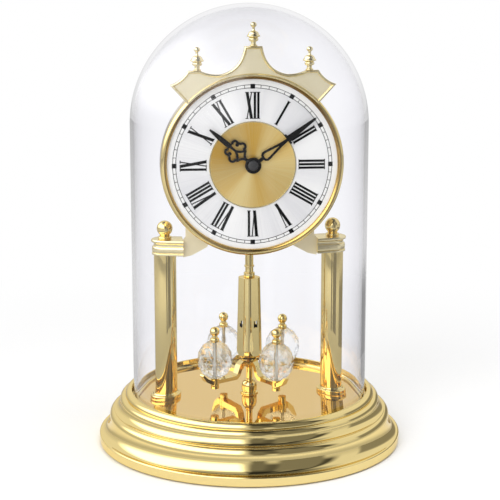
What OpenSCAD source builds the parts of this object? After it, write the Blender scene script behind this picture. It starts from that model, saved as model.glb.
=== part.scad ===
// Table clock with a slowly turning pendulum, on a round moulded base under a glass dome.
// Millimetres. The base stands on z = 0, the dial looks along -Y and the dome's axis is Z.

/* [Base] */
// Outer diameter of the moulded base
base_d = 160; // [159:1:176]
// Height of the base's top rim above the table
base_h = 28; // [27:0.5:34]
// Gap between the base's edge and the table, bridged by the pads
foot_gap = 0.5; // [0.3:0.1:1.2]
// Height of the plain band round the foot, from the table
band_h = 5.6; // [4.6:0.1:6.4]
// Rounding of the band's edges
band_ease = 0.8; // [0.4:0.1:1.2]
// Height of the bead above the big cove
bead_h = 4.1; // [3.4:0.1:4.6]
// How far the bead rounds in
bead_w = 2.4; // [2:0.1:3]
// Height of the small cove
small_cove_h = 4.4; // [3.6:0.1:4.8]
// How far the small cove runs in
small_cove_w = 3.2; // [2.6:0.1:3.6]
// Height of the rounded step
step_h = 3.1; // [2.6:0.1:3.6]
// How far the rounded step rounds in
step_w = 2.2; // [1.8:0.1:2.8]
// Height of the rounded top rim
rim_h = 2.9; // [2.4:0.1:3.4]
// How far the top rim rounds in
rim_w = 2.4; // [2:0.1:3]
// Flat on top of the rim, beside the dome's groove
rim_flat = 1; // [0.6:0.1:1.6]
// Small square set-off between two mouldings
quirk = 0.3; // [0.2:0.1:0.5]
// Wall of the spun base shell
shell_wall = 1.6; // [1.2:0.1:1.8]
// Thickness of the bottom cover
cover_t = 1; // [0.8:0.1:1.4]
// Diameter of one felt pad
pad_d = 16; // [12:1:17]
// Height of one felt pad
pad_h = 1.5; // [1.4:0.1:2.4]

/* [Deck] */
// How far the deck plate lies below the top rim
deck_drop = 3.5; // [3:0.1:4]
// Thickness of the deck plate
deck_t = 1.6; // [1.2:0.1:2]
// Height of the bright lip round the deck, above it
lip_h = 1; // [0.6:0.1:1.4]
// Width of that lip
lip_w = 1.2; // [1:0.1:1.6]

/* [Dome] */
// Outer diameter of the glass dome
dome_d = 123; // [122.4:0.2:123.8]
// Air between the top urn and the glass
dome_air = 3.5; // [2.5:0.1:12]
// Wall of the glass
glass_t = 2; // [1.6:0.1:2.4]
// Depth of the dome's groove
groove_depth = 4; // [3.6:0.1:4.6]
// Gap between the glass and the groove's outer wall
groove_gap = 1.1; // [0.8:0.1:1.4]
// Thickness of the ring that the glass stands on
seat_t = 1; // [0.6:0.1:1.4]

/* [Columns] */
// Distance between the two columns' axes
column_spread = 88.4; // [86:0.2:90]
// Outer diameter of a column
column_d = 11.6; // [10.6:0.2:12.4]
// Wall of a column tube
column_wall = 1; // [0.6:0.1:1.6]
// Height of a column from the deck to its bracket
column_h = 76.6; // [74:0.2:80]
// Diameter of a column's foot flange
flange_d = 15.6; // [14.4:0.2:17]
// Height of a column's foot flange
flange_h = 2; // [1.4:0.1:3]
// Diameter of the tie rod in a column
tie_rod_d = 4; // [3:0.1:4.6]

/* [Brackets] */
// Height of a bracket block
bracket_h = 8; // [7.4:0.1:9]
// Width of a bracket block across its flanges
bracket_w = 14.4; // [13.2:0.2:15.2]
// Distance from the column's axis to the inner end of its bracket
bracket_reach = 9.2; // [8.4:0.1:9.6]
// Angle at which a bracket's arm comes forward, in degrees
bracket_skew = 12; // [8:1:14]
// Diameter of the ball on a bracket
finial_ball_d = 8.2; // [7:0.1:9]

/* [Case] */
// Height of the hands' axis above the underside of the brackets
dial_rise = 48.3; // [47.6:0.1:50]
// Air between the movement's corners and the case
case_gap = 0.7; // [0.5:0.1:1.4]
// Wall of the case
case_wall = 1.2; // [0.8:0.1:1.4]
// Thickness of the mounting plate
plate_t = 1.5; // [1.2:0.1:1.6]
// Depth of the rear can behind the mounting plate
can_depth = 11.5; // [11:0.1:14]

/* [Dial and bezel] */
// How far the bezel stands out from the case
bezel_overhang = 5.1; // [5:0.1:5.8]
// Width of the bezel ring round the dial
bezel_w = 3.3; // [2.9:0.1:3.6]
// How far the domed bezel stands in front of the dial
bezel_rise = 2; // [1.4:0.1:2.1]
// Thickness of the dial plate
dial_t = 0.8; // [0.6:0.1:0.8]
// White margin between the bezel and the minute track
track_margin = 2.7; // [2:0.1:3.4]
// Width of the minute track
track_w = 1.8; // [1.4:0.1:2.4]
// Gap between the minute track and the numerals
numeral_gap = 1.9; // [1.2:0.1:2.4]
// Height of the numerals
numeral_h = 13.5; // [12:0.1:13.9]
// Gap between the numerals and the gold disc
disc_gap = 1.2; // [0.8:0.1:2.6]
// Thickness of the raised print
ink_t = 0.12; // [0.1:0.01:0.2]

/* [Hands] */
// Length of the hour hand
hour_len = 28.5; // [26:0.5:32]
// Length of the minute hand
minute_len = 39.5; // [36:0.5:40]
// Radius of the hands' round boss
hand_boss_r = 4.1; // [3.8:0.1:4.4]
// Thickness of a hand
hand_t = 0.4; // [0.3:0.05:0.5]
// Angle of the hour hand, clockwise from twelve, in degrees
hour_angle = 309.9; // [0:0.1:360]
// Angle of the minute hand, clockwise from twelve, in degrees
minute_angle = 53.3; // [0:0.1:360]

/* [Pediment] */
// How far the pediment's lower edge laps over the bezel
pediment_lap = 1.6; // [1.2:0.1:2]
// Height of the pediment's peak above its lower edge
peak_rise = 14.7; // [13:0.1:16]
// Thickness of the pediment plate
pediment_t = 2.4; // [2:0.1:3]
// Width of its raised rim
pediment_rim = 1.4; // [1:0.1:1.5]
// Depth of its recessed panel
pediment_recess = 1; // [0.6:0.1:1.4]
// Height of a finial on the pediment
urn_h = 11.6; // [10:0.1:12.6]

/* [Pendulum] */
// Distance from the pendulum's axis to a ball's axis
arm_reach = 22.75; // [21:0.25:24]
// Diameter of a crystal ball
crystal_d = 18.8; // [16:0.2:20]
// Height of the arms' upper face above the deck
arm_h = 11.1; // [10.6:0.1:13]
// Width of an arm
arm_w = 4; // [3:0.1:4.4]
// Thickness of an arm
arm_t = 2; // [1.6:0.1:2.2]
// Height of the square tower
tower_h = 39.3; // [36:0.1:42]
// Half diagonal of the tower at its foot
tower_foot_r = 6.7; // [6.2:0.1:7.4]
// Half diagonal of the tower at its top
tower_top_r = 5.7; // [5.2:0.1:6.1]
// Wall of the tower
tower_wall = 0.8; // [0.6:0.1:1]
// Diameter of the upper rod
rod_d = 4.3; // [3.8:0.1:4.8]
// Diameter of the lower rod
lower_rod_d = 3.4; // [3:0.1:3.6]
// Height of the guide cup
cup_h = 7.6; // [7:0.1:8]
// Turn of the pendulum at rest, in degrees
pendulum_turn = 32; // [0:1:90]

/* [Movement] */
// Depth of the housing
housing_depth = 15; // [14.8:0.1:15.2]
// Wall of the housing
housing_wall = 1.2; // [1:0.1:1.4]
// Diameter of the battery
battery_d = 14.2; // [13.5:0.1:14.5]
// Length of the battery
battery_len = 50.5; // [48:0.1:52]
// Teeth of the pinion on the minute arbor
cannon_teeth = 12; // [10:1:12]
// Teeth of the wheel on the setting arbor
setting_teeth = 36; // [34:1:36]
// Tooth module of that pair
cannon_module = 0.5; // [0.48:0.01:0.5]
// Teeth of the pinion on the setting arbor
reduction_teeth = 10; // [8:1:10]
// Teeth of the hour wheel
hour_teeth = 40; // [38:1:40]
// Diameter of the setting knob
knob_d = 11; // [9:0.5:12]

/* [Hidden] */

$fn = 72;
side = [-1, 1];

// Clearances: a turning shaft, a slip fit of fixed parts, and free air between moving bodies
running = 0.05;
slip = 0.05;
free_air = 0.4;
cut = 1;

// Heights on the axis
deck_z = base_h - deck_drop;
ledge_z = deck_z - deck_t;
ledge_under = ledge_z - shell_wall;
groove_z = base_h - groove_depth;
seat_z = groove_z + seat_t;
column_x = column_spread / 2;
bracket_z = deck_z + column_h;
bracket_top = bracket_z + bracket_h;
dial_z = bracket_z + dial_rise;

// Radii of the base, from the dome outwards
glass_r = dome_d / 2;
dome_cavity_r = glass_r - glass_t;
groove_out_r = glass_r + groove_gap;
groove_in_gap = 0.9;
groove_in_r = dome_cavity_r - groove_in_gap;
lip_r = groove_in_r - lip_w;
ledge_w = 3.4;
ledge_r = lip_r - ledge_w;
deck_gap = 0.2;
deck_r = lip_r - deck_gap;
rim_r = groove_out_r + rim_flat + rim_w;
step_set = 0.6;
step_r = rim_r + step_set + step_w;
bead_r = step_r + small_cove_w + bead_w;
base_r = base_d / 2;

// Heights of the base's mouldings
big_cove_h = base_h - band_h - bead_h - small_cove_h - step_h - rim_h;
bead_z = band_h + big_cove_h;
small_cove_z = bead_z + bead_h;
step_z = small_cove_z + small_cove_h;
rim_z = step_z + step_h;
moulding_face = 0.7;
hollow_w = 2 * shell_wall;
ease_arc = 5;
small_arc = 6;
step_arc = 8;
cove_arc = 14;

// Bottom cover
cover_gap = 0.3;
cover_r = base_r - hollow_w - cover_gap;
cover_z = pad_h;
cover_top = cover_z + cover_t;
screw_d = 2.4;
screw_head_d = 5;
screw_head_h = 0.9;
post_ring_r = groove_in_r + lip_w;
post_d = 6;
post_count = 3;
post_turn = 90;
post_root = 0.8;
pilot_depth = 8;
pad_count = 4;
pad_inset = 2;
pad_ring_r = cover_r - pad_d / 2 - pad_inset;
pad_turn = 45;

// Guide cup
cup_spigot_r = 2.6;
cup_spigot_h = deck_t + 0.8;
cup_floor = 1.6;
cup_flange_r = 4.7;
cup_body_r = 4.05;
cup_flange_h = 0.7;
cup_mouth_r = 2.2;
cup_belly = 3.7;
cup_shoulder = 0.8;
cup_close = 80;
// Radius and height of the waist between the cup's flange and its body
cup_waist = [[cup_body_r - 0.5, 1], [cup_body_r - 0.1, 1.6], [cup_body_r, 2.4]];
// Radius, from the mouth's, and depth under the top of the cup's bead
cup_bead = [[-0.1, 0.7], [0.1, 0.3], [0, 0]];

// Dome
seat_in = 0.6;
dome_arc = 24;

// Columns and tie rods
flange_step_r = 6.6;
flange_step_h = 0.7;
tie_rod_r = tie_rod_d / 2;
tie_hole_r = tie_rod_r + 0.1;
washer_r = 5;
washer_t = 1;
nut_r = 4.1;
nut_h = 3.2;
nut_sides = 6;
tie_rod_tail = 2;
tie_rod_bite = 3;
nut_z = ledge_z - washer_t - nut_h;

// Ball finials
finial_bore = tie_rod_bite + 0.3;
finial_foot_r = 3.6;
finial_foot_h = 1.3;
finial_neck_r = 3;
finial_ball_z = 5.4;

// Depths along Y, from the dial's face backwards
dial_y = -17;
dial_back = dial_y + dial_t;
plate_y = -5;
plate_back = plate_y + plate_t;
can_back = plate_back + can_depth;
can_floor = 1;
bezel_wall = 1.2;

// Across the front, from the battery's pocket outwards to the bezel
pocket_end = 1.2;
pocket_side = 0.35;
pocket_x = battery_len / 2 + pocket_end;
housing_in_r = pocket_x + pocket_side;
housing_r = housing_in_r + housing_wall;
case_bore_r = housing_r * sqrt(2) + case_gap;
case_r = case_bore_r + case_wall;
bezel_r = case_r + bezel_overhang;
dial_view_r = bezel_r - bezel_w;
track_r = dial_view_r - track_margin;
numeral_r = track_r - track_w - numeral_gap - numeral_h;
disc_r = numeral_r - disc_gap;
dial_r = bezel_r - bezel_wall - slip;
case_flange_r = dial_r;
rear_flange_t = 0.8;
front_flange_t = 2;
case_screw_count = 6;
case_screw_r = (case_r + case_flange_r) / 2;
case_screw_d = 1.2;
case_screw_head_d = 2.6;
case_screw_head_h = 1;
case_screw_bite = 1.6;
bezel_crest = 1.6;
bezel_shoulder = 0.2;
bezel_lip = 0.4;
rod_hole_r = 3.2;

// Brackets, and the plate between them
bracket_r = bracket_w / 2;
slot_depth = 4;
slot_margin = 1.4;
tongue_end = 0.2;
bracket_screw_in = 2;
bracket_screw_front = -6.2;
bracket_screw_seat = 4;
plate_screw_r = 1.2;
plate_screw_head_r = 1.9;
plate_screw_head_h = 1;
wing_in_x = column_x - bracket_reach;
wing_side_x = wing_in_x - 1.4;
wing_low = 1.2;
tongue_x = wing_in_x + slot_depth - tongue_end;
wing_root = 63;
wing_out = 4.4;
wing_top = 1.1;

// Pillars of the pediment, and the plate's stem that carries them
pillar_x = 3.5;
pillar_r = 1.5;
pillar_gap = 0.5;
pillar_screw_r = 0.8;
pillar_screw_len = 4;
pillar_rise = bezel_r + pillar_gap + pillar_r;
pillar_z = dial_z + pillar_rise;
stem_w = 2 * (pillar_x + plate_screw_head_r);
stem_top = pillar_rise + plate_screw_head_r;

// Movement housing, centred on the hands' axis
housing_back = dial_back + housing_depth;
housing_split = dial_back + 7.2;
housing_floor_y = dial_back + housing_wall;
bush_r = 3;
bush_front = dial_y - 1;
nut_round_r = 3.9;
disc_t = 0.3;
rim_band = 0.5;
rim_rise = 0.15;

// Battery pocket
battery_gap = 0.4;
pocket_wall = 1;
pocket_low = 1.4;
pocket_h = battery_d + 2 * battery_gap;
battery_z = dial_z - housing_r + pocket_low + pocket_h / 2;
battery_y = housing_floor_y + battery_gap + battery_d / 2;
battery_nub_r = 2.7;
battery_nub_len = 1;
contact_t = 0.5;
contact_w = 9;
window_gap = 0.6;

// Hands and their arbors
arbor_r = 1.2;
tube_in_r = arbor_r + running;
tube_r = 2;
hand_gap = 0.6;
hour_hand_y = bush_front - free_air - hand_t;
minute_hand_y = hour_hand_y - hand_gap - hand_t;
arbor_proud = 0.5;
arbor_front = minute_hand_y - arbor_proud;
cap_r = 2.6;
cap_t = 1.1;
hour_gear_y = housing_floor_y + 1;
hour_gear_t = 1;
cannon_y = hour_gear_y + hour_gear_t + 1;
cannon_t = 1.5;

// Sealed gear block, and what sits round it
block_y = cannon_y + cannon_t + 0.7;
block_t = 6.4;
block_gap = 0.6;
coil_end_r = 3.9;
coil_room = 2.4;
coil_z = housing_in_r - coil_room - coil_end_r;
block_x = [-12, 7];
block_z = [-8, coil_z - coil_end_r - block_gap];
arbor_bite = 3;
bore_spare = 0.6;

// Setting gear: both pairs share one centre distance
centre_distance = cannon_module * (cannon_teeth + setting_teeth) / 2;
hour_module = 2 * centre_distance / (reduction_teeth + hour_teeth);
setting_turn = 25;
setting_x = centre_distance * cos(setting_turn);
setting_z = dial_z + centre_distance * sin(setting_turn);
setting_front = housing_floor_y - 0.4;
setting_boss_r = 2.4;
setting_boss_h = 0.4;
reduction_y = hour_gear_y - 0.2;
reduction_t = 1.6;
knob_y = housing_back + 2.6;
knob_len = 9;
knob_bite = 5;
knob_gap = 0.8;
flute_count = 20;
flute_r = 0.5;

// One tooth: share of the pitch either side of its middle, and radius in half modules from the pitch circle
tooth_form = [[-0.26, -2.4], [-0.1, 1.6], [0.1, 1.6], [0.26, -2.4]];

// Pediment, measured from the hands' axis
pediment_gap = 0.2;
pediment_y = dial_y - bezel_rise - pediment_gap - pediment_t;
pediment_r = bezel_r - pediment_lap;
pediment_end = 43.6;
ear_x = 41.6;
ear_drop = 4.2;
ear_bow = 1.1;
shoulder_out_x = 32.6;
shoulder_in_x = 26.5;
shoulder_rise = 2.8;
shoulder_z = pediment_r + shoulder_rise;
valley_x = 17;
valley_w = 1;
valley_rise = 0.85;
valley_z = pediment_r + valley_rise;
valley_bow = 0.5;
peak_z = pediment_r + peak_rise;
peak_x = 4.4;
peak_foot_x = 4.9;
peak_foot_drop = 2.3;
peak_bow = 2.7;
urn_x = 28;
urn_y = pediment_y + pediment_t / 2;

// The dome's round top clears the top urn
dome_round_z = dial_z + peak_z + urn_h - sqrt((dome_cavity_r - dome_air) ^ 2 - urn_y ^ 2);

// Pendulum drive unit, hanging under the housing
drive_w = 18;
drive_depth = 13;
drive_gap = 2.1;
drive_top = dial_z - housing_r;
drive_low = dial_z - case_bore_r + drive_gap;
drive_h = drive_top - drive_low;
magnet_r = 3.5;
magnet_t = 2.2;
drive_cavity_r = magnet_r + 0.8;
drive_cavity_h = 5;
pin_r = 1;
pin_head_r = 1.8;
pin_head_h = 0.8;
pin_bite = 2.5;
bush_h = 2.4;
pin_shelf = drive_low + drive_cavity_h + bush_h;
pin_room = 1.6;
coil_in_r = drive_cavity_r + 0.5;
coil_out_r = coil_in_r + 1.2;
coil_h = 3;

// Pendulum, from the deck upwards
rod_r = rod_d / 2;
lower_rod_r = lower_rod_d / 2;
rod_gap = 0.5;
lower_rod_z = deck_z + cup_h + rod_gap;
arm_z = deck_z + arm_h;
hub_h = 2.4;
hub_r = 4.2;
hub_rise = 5.6;
hub_z = arm_z + hub_rise;
foot_z = hub_z + hub_h;
foot_h = 4.9;
foot_neck_r = 2.2;
tower_z = foot_z + foot_h;
tower_top = tower_z + tower_h;
tower_square = 0.86;
tower_cap = 1.2;
tower_foot_w = 2 * tower_foot_r * tower_square;
collar_h = 2.4;
collar_r = 2.9;
rod_top = drive_low + 0.8;
rod_ring_z = tower_top + 5.4;
rod_ring_h = 0.9;
rod_ring_r = 2.6;
window_w = 2.4;
window_h = 3.7;
window_z = tower_z + 14.4;
crystal_gap = 1.4;
crystal_r = crystal_d / 2;
crystal_half_h = crystal_r + 0.2;
crystal_z = arm_z + crystal_gap + crystal_half_h;
crystal_top = crystal_z + crystal_half_h;
crystal_rings = 7;
crystal_sides = 10;
crystal_tilt = 68;
ball_pin_r = 0.9;
stub_r = 2.15;
stub_h = 2.1;
boss_r = 2.25;
boss_drop = 0.6;
boss_z = arm_z - arm_t - boss_drop;
guide_pin_r = 1;
guide_pin_len = 5;
cup_bore_r = guide_pin_r + free_air;
knob_bore = 2.7;
knob_foot = [2.3, 2];
knob_neck = [1.5, 4];
knob_ball_r = 2.55;
knob_ball_z = 5.4;

// Points of an elliptic arc round c, from angle a to angle b in n steps
function arc_pts(c, rx, rz, a, b, n) =
    [for (i = [0:n]) let (t = a + (b - a) * i / n) [c[0] + rx * cos(t), c[1] + rz * sin(t)]];

// A hollow moulding from a, low and outside, to b, high and inside
function cove(a, b, n) = arc_pts([a[0], b[1]], a[0] - b[0], b[1] - a[1], 270, 180, n);

// A round moulding from a, low and outside, to b, high and inside
function ovolo(a, b, n) = arc_pts([b[0], a[1]], a[0] - b[0], b[1] - a[1], 0, 90, n);

// The mirror image of a list of points, in reverse order
function mirrored(p) = [for (i = [len(p) - 1:-1:0]) [-p[i][0], p[i][1]]];

// A list of points stretched to a width and a height
function scaled(p, w, h) = [for (q = p) [q[0] * w, q[1] * h]];

function unit(v) = v / norm(v);
function edge_normal(a, b) = let (d = unit(b - a)) [-d[1], d[0]];

// The direction in which a corner moves when both of its edges move by one
function corner(before, after) = (before + after) / (1 + before * after);

// A closed outline moved inwards by d, for points that run anticlockwise
function inset(p, d) = let (n = len(p))
    [for (i = [0:n - 1])
        p[i] + d * corner(edge_normal(p[(i + n - 1) % n], p[i]), edge_normal(p[i], p[(i + 1) % n]))];

// Points from a to b that bow to the left by h
function bow(a, b, h, n) =
    [for (i = [0:n]) let (t = i / n) a + (b - a) * t + 4 * h * t * (1 - t) * edge_normal(a, b)];

// The outline of a strip of width w along open points, anticlockwise
function ribbon(p, w) = let (
        n = len(p) - 1,
        q = [for (i = [0:n])
            let (j = max(i, 1), k = min(i, n - 1))
            corner(edge_normal(p[j - 1], p[j]), edge_normal(p[k], p[k + 1])) * w / 2]
    )
    concat([for (i = [0:n]) p[i] - q[i]], [for (i = [n:-1:0]) p[i] + q[i]]);

// The outline of a gear whose first tooth points at an angle
function gear_points(teeth, size, phase) =
    [for (i = [0:teeth - 1], f = tooth_form)
        let (a = phase + (i + f[0]) * 360 / teeth, r = size * (teeth + f[1]) / 2)
        [r * cos(a), r * sin(a)]];

module turned(profile) rotate_extrude() polygon(profile);

// A profile of radius and depth, turned about the hands' axis
module dial_turned(profile) at_dial() rotate([-90, 0, 0]) rotate_extrude() polygon(profile);

// A plate drawn in X and Z, from depth y to y + t
module upright(y, t) translate([0, y + t, 0]) rotate([90, 0, 0]) linear_extrude(t) children();

// A round bar along Y, from depth y to y + t
module across(y, t, r) translate([0, y + t, 0]) rotate([90, 0, 0]) cylinder(h = t, r = r);

module ring(outer, inner) difference() {
    circle(outer);
    circle(inner);
}

module at_dial() translate([0, 0, dial_z]) children();
module at_setting() translate([setting_x, 0, setting_z]) children();
module each_column() for (s = side) translate([s * column_x, 0, 0]) children();
module clockwise(angle) rotate([0, angle, 0]) children();
module at_pendulum() rotate([0, 0, pendulum_turn]) children();
module each_arm() for (i = [0:3]) rotate([0, 0, pendulum_turn + 90 * i]) children();
module each_pin() each_arm() translate([arm_reach, 0, 0]) children();

/* Base */

outer_profile = concat(
    arc_pts([base_r - band_ease, foot_gap + band_ease], band_ease, band_ease, -90, 0, ease_arc),
    arc_pts([base_r - band_ease, band_h - band_ease], band_ease, band_ease, 0, 90, ease_arc),
    cove([base_r - band_ease - quirk, band_h], [bead_r - quirk, bead_z], cove_arc),
    [[bead_r, bead_z]],
    ovolo([bead_r, bead_z + moulding_face], [bead_r - bead_w, small_cove_z], step_arc),
    cove([bead_r - bead_w, small_cove_z + quirk], [step_r - quirk, step_z], cove_arc),
    [[step_r, step_z]],
    ovolo([step_r, step_z + moulding_face], [step_r - step_w, rim_z], step_arc),
    [[rim_r, rim_z]],
    ovolo([rim_r, rim_z + quirk], [rim_r - rim_w, base_h], step_arc)
);
inner_profile = [
    [groove_out_r, base_h],
    [groove_out_r, groove_z],
    [groove_in_r, groove_z],
    [groove_in_r, deck_z + lip_h],
    [lip_r, deck_z + lip_h],
    [lip_r, ledge_z],
    [ledge_r, ledge_z],
    [ledge_r, ledge_under],
    [step_r - hollow_w, ledge_under],
    [step_r - hollow_w, small_cove_z - shell_wall],
    [bead_r - hollow_w, small_cove_z - shell_wall],
    [bead_r - hollow_w, band_h + shell_wall],
    [base_r - hollow_w, band_h - shell_wall / 2],
    [base_r - hollow_w, foot_gap]
];

module each_post() for (i = [0:post_count - 1])
    rotate([0, 0, post_turn + i * 360 / post_count]) translate([post_ring_r, 0, 0]) children();

module base_shell() color("goldenrod") difference() {
    union() {
        turned(concat(outer_profile, inner_profile));
        each_post() translate([0, 0, cover_top])
            cylinder(h = ledge_under - cover_top + post_root, d = post_d);
    }
    each_post() translate([0, 0, cover_top - cut]) cylinder(h = pilot_depth + cut, r = screw_d / 2 + slip);
}

module bottom_cover() color("darkgoldenrod") difference() {
    translate([0, 0, cover_z]) cylinder(h = cover_t, r = cover_r);
    each_post() translate([0, 0, cover_z - cut]) cylinder(h = cover_t + 2 * cut, r = screw_d / 2 + slip);
}

module cover_screws() color("silver") each_post() {
    translate([0, 0, cover_z]) cylinder(h = cover_t + pilot_depth - cut, d = screw_d);
    translate([0, 0, cover_z - screw_head_h]) cylinder(h = screw_head_h, d = screw_head_d);
}

module foot_pads() color("darkgreen") for (i = [0:pad_count - 1])
    rotate([0, 0, pad_turn + i * 360 / pad_count]) translate([pad_ring_r, 0, 0])
        cylinder(h = pad_h, d = pad_d);

module deck_plate() color("gold") difference() {
    translate([0, 0, ledge_z]) cylinder(h = deck_t, r = deck_r);
    each_column() translate([0, 0, ledge_z - cut]) cylinder(h = deck_t + 2 * cut, r = tie_hole_r);
    translate([0, 0, ledge_z - cut]) cylinder(h = deck_t + 2 * cut, r = cup_spigot_r + slip);
}

// Heights from the deck: a spigot through it, a flange, a round body and a beaded mouth
module guide_cup() color("gold") translate([0, 0, deck_z]) turned(concat(
    [[cup_bore_r, cup_floor - cup_spigot_h], [0, cup_floor - cup_spigot_h], [0, -cup_spigot_h]],
    [[cup_spigot_r, -cup_spigot_h], [cup_spigot_r, 0], [cup_flange_r, 0], [cup_flange_r, cup_flange_h]],
    cup_waist,
    arc_pts(
        [cup_mouth_r, cup_belly],
        cup_body_r - cup_mouth_r, cup_h - cup_belly - cup_shoulder, 0, cup_close, small_arc
    ),
    [for (b = cup_bead) [cup_mouth_r + b[0], cup_h - b[1]]],
    [[cup_bore_r, cup_h]]
));

/* Dome */

module dome_seat() color("dimgray") turned([
    [groove_in_r + seat_in, groove_z],
    [groove_out_r - seat_in, groove_z],
    [groove_out_r - seat_in, seat_z],
    [groove_in_r + seat_in, seat_z]
]);

module glass_dome() color("lightcyan", 0.3) turned(concat(
    [[dome_cavity_r, seat_z], [glass_r, seat_z]],
    arc_pts([0, dome_round_z], glass_r, glass_r, 0, 90, dome_arc),
    arc_pts([0, dome_round_z], dome_cavity_r, dome_cavity_r, 90, 0, dome_arc)
));

/* Columns */

module column() difference() {
    translate([0, 0, deck_z]) cylinder(h = column_h, d = column_d);
    translate([0, 0, deck_z - cut]) cylinder(h = column_h + 2 * cut, r = column_d / 2 - column_wall);
}

module column_left() color("gold") translate([-column_x, 0, 0]) column();
module column_right() color("gold") translate([column_x, 0, 0]) column();

module column_flanges() color("goldenrod") each_column() translate([0, 0, deck_z]) turned([
    [column_d / 2 + slip, 0],
    [flange_d / 2, 0],
    [flange_d / 2, flange_h],
    [flange_step_r, flange_h],
    [flange_step_r, flange_h + flange_step_h],
    [column_d / 2 + slip, flange_h + flange_step_h]
]);

module tie_rods() color("silver") each_column() translate([0, 0, nut_z - tie_rod_tail])
    cylinder(h = bracket_top + tie_rod_bite - nut_z + tie_rod_tail, r = tie_rod_r);

module base_nuts() color("silver") each_column() difference() {
    union() {
        translate([0, 0, ledge_z - washer_t]) cylinder(h = washer_t, r = washer_r);
        translate([0, 0, nut_z]) cylinder(h = nut_h, r = nut_r, $fn = nut_sides);
    }
    translate([0, 0, nut_z - cut]) cylinder(h = washer_t + nut_h + 2 * cut, r = tie_rod_r);
}

/* Brackets */

// One side of the moulding, as shares of its half width and height
bracket_side = concat(
    [[0.95, 0], [0.95, 0.11]],
    arc_pts([0.87, 0.35], 0.07, 0.2, -90, 90, step_arc),
    [[0.8, 0.57], [0.8, 0.65], [0.97, 0.82], [1, 0.86], [1, 0.94], [0.96, 1]]
);
// The arm stands a little inside the block's sides and starts outside the tie rod's hole
arm_set = 0.15;
arm_root_gap = 0.5;
arm_root = tie_hole_r + arm_root_gap;
bracket_profile = scaled(bracket_side, bracket_r, bracket_h);
bracket_arm_profile = scaled(bracket_side, bracket_r - arm_set, bracket_h);

module bracket_screw_place() translate([bracket_reach - bracket_screw_in, 0, bracket_h / 2]) children();

// The left bracket, from the column's axis inwards
module bracket() difference() {
    union() {
        turned(concat([[0, 0]], bracket_profile, [[0, bracket_h]]));
        rotate([0, 0, -bracket_skew]) translate([arm_root, 0, 0])
            rotate([90, 0, 90]) linear_extrude(2 * bracket_reach)
                polygon(concat(bracket_arm_profile, mirrored(bracket_arm_profile)));
    }
    translate([bracket_reach, -2 * bracket_w, -cut])
        cube([3 * bracket_reach, 4 * bracket_w, bracket_h + 2 * cut]);
    translate([0, 0, -cut]) cylinder(h = bracket_h + 2 * cut, r = tie_hole_r);
    translate([bracket_reach - slot_depth, plate_y - slip, slot_margin])
        cube([slot_depth + cut, plate_t + 2 * slip, bracket_h - 2 * slot_margin]);
    bracket_screw_place() {
        across(bracket_screw_front - slip, bracket_w, plate_screw_r + slip);
        across(bracket_screw_seat, bracket_w, plate_screw_head_r + slip);
    }
}

module bracket_left() color("goldenrod") translate([-column_x, 0, bracket_z]) bracket();
module bracket_right() color("goldenrod") mirror([1, 0, 0]) translate([-column_x, 0, bracket_z]) bracket();

module ball_finial() translate([0, 0, bracket_top]) difference() {
    union() {
        cylinder(h = finial_foot_h, r = finial_foot_r);
        cylinder(h = finial_ball_z, r = finial_neck_r);
        translate([0, 0, finial_ball_z]) sphere(d = finial_ball_d);
    }
    translate([0, 0, -cut]) cylinder(h = finial_bore + cut, r = tie_rod_r);
}

module ball_finial_left() color("gold") translate([-column_x, 0, 0]) ball_finial();
module ball_finial_right() color("gold") translate([column_x, 0, 0]) ball_finial();

/* Case */

module each_case_screw() at_dial() for (i = [0:case_screw_count - 1])
    clockwise(90 + i * 360 / case_screw_count) translate([0, 0, case_screw_r]) children();

module each_pillar() for (s = side) translate([s * pillar_x, 0, pillar_z]) children();

// The right wing of the plate, with its tongue for the bracket's slot
wing = [
    [case_screw_r * cos(wing_root), dial_z - case_screw_r * sin(wing_root)],
    [(case_flange_r + wing_out) * cos(wing_root), dial_z - (case_flange_r + wing_out) * sin(wing_root)],
    [wing_in_x - 4.6, bracket_z - 0.2],
    [wing_in_x, bracket_z - wing_low],
    [wing_in_x, bracket_z + slot_margin + slip],
    [tongue_x, bracket_z + slot_margin + slip],
    [tongue_x, bracket_top - slot_margin - slip],
    [wing_in_x, bracket_top - slot_margin - slip],
    [wing_in_x, bracket_top],
    [wing_side_x, bracket_top + 1.6],
    [wing_side_x, dial_z - sqrt(case_flange_r ^ 2 - wing_side_x ^ 2) - wing_top]
];

module mounting_plate() color("khaki") difference() {
    upright(plate_y, plate_t) difference() {
        union() {
            translate([0, dial_z]) circle(case_flange_r);
            polygon(wing);
            polygon(mirrored(wing));
            translate([-stem_w / 2, dial_z]) square([stem_w, stem_top]);
        }
        translate([0, dial_z]) circle(case_bore_r);
    }
    each_case_screw() across(plate_y - cut, plate_t + 2 * cut, case_screw_d / 2 + slip);
    each_pillar() across(plate_y - cut, plate_t + 2 * cut, pillar_screw_r + slip);
    for (s = side) translate([s * (wing_in_x + bracket_screw_in), 0, bracket_z + bracket_h / 2])
        across(plate_y - cut, plate_t + 2 * cut, plate_screw_r + slip);
}

module screw_from_behind(y, seat, r, head_r) {
    across(y, seat - y, r);
    across(seat, plate_screw_head_h, head_r);
}

module plate_screws() color("silver") {
    for (s = side) translate([s * (wing_in_x + bracket_screw_in), 0, bracket_z + bracket_h / 2])
        screw_from_behind(bracket_screw_front, bracket_screw_seat, plate_screw_r, plate_screw_head_r);
    each_pillar()
        screw_from_behind(plate_y - pillar_screw_len, plate_back, pillar_screw_r, plate_screw_head_r);
}

module case_ring() color("goldenrod") difference() {
    dial_turned([
        [case_bore_r, dial_back],
        [case_r, dial_back],
        [case_r, plate_y - front_flange_t],
        [case_flange_r, plate_y - front_flange_t],
        [case_flange_r, plate_y],
        [case_bore_r, plate_y]
    ]);
    each_case_screw()
        across(plate_y - case_screw_bite - slip, case_screw_bite + cut, case_screw_d / 2 + slip);
}

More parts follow.
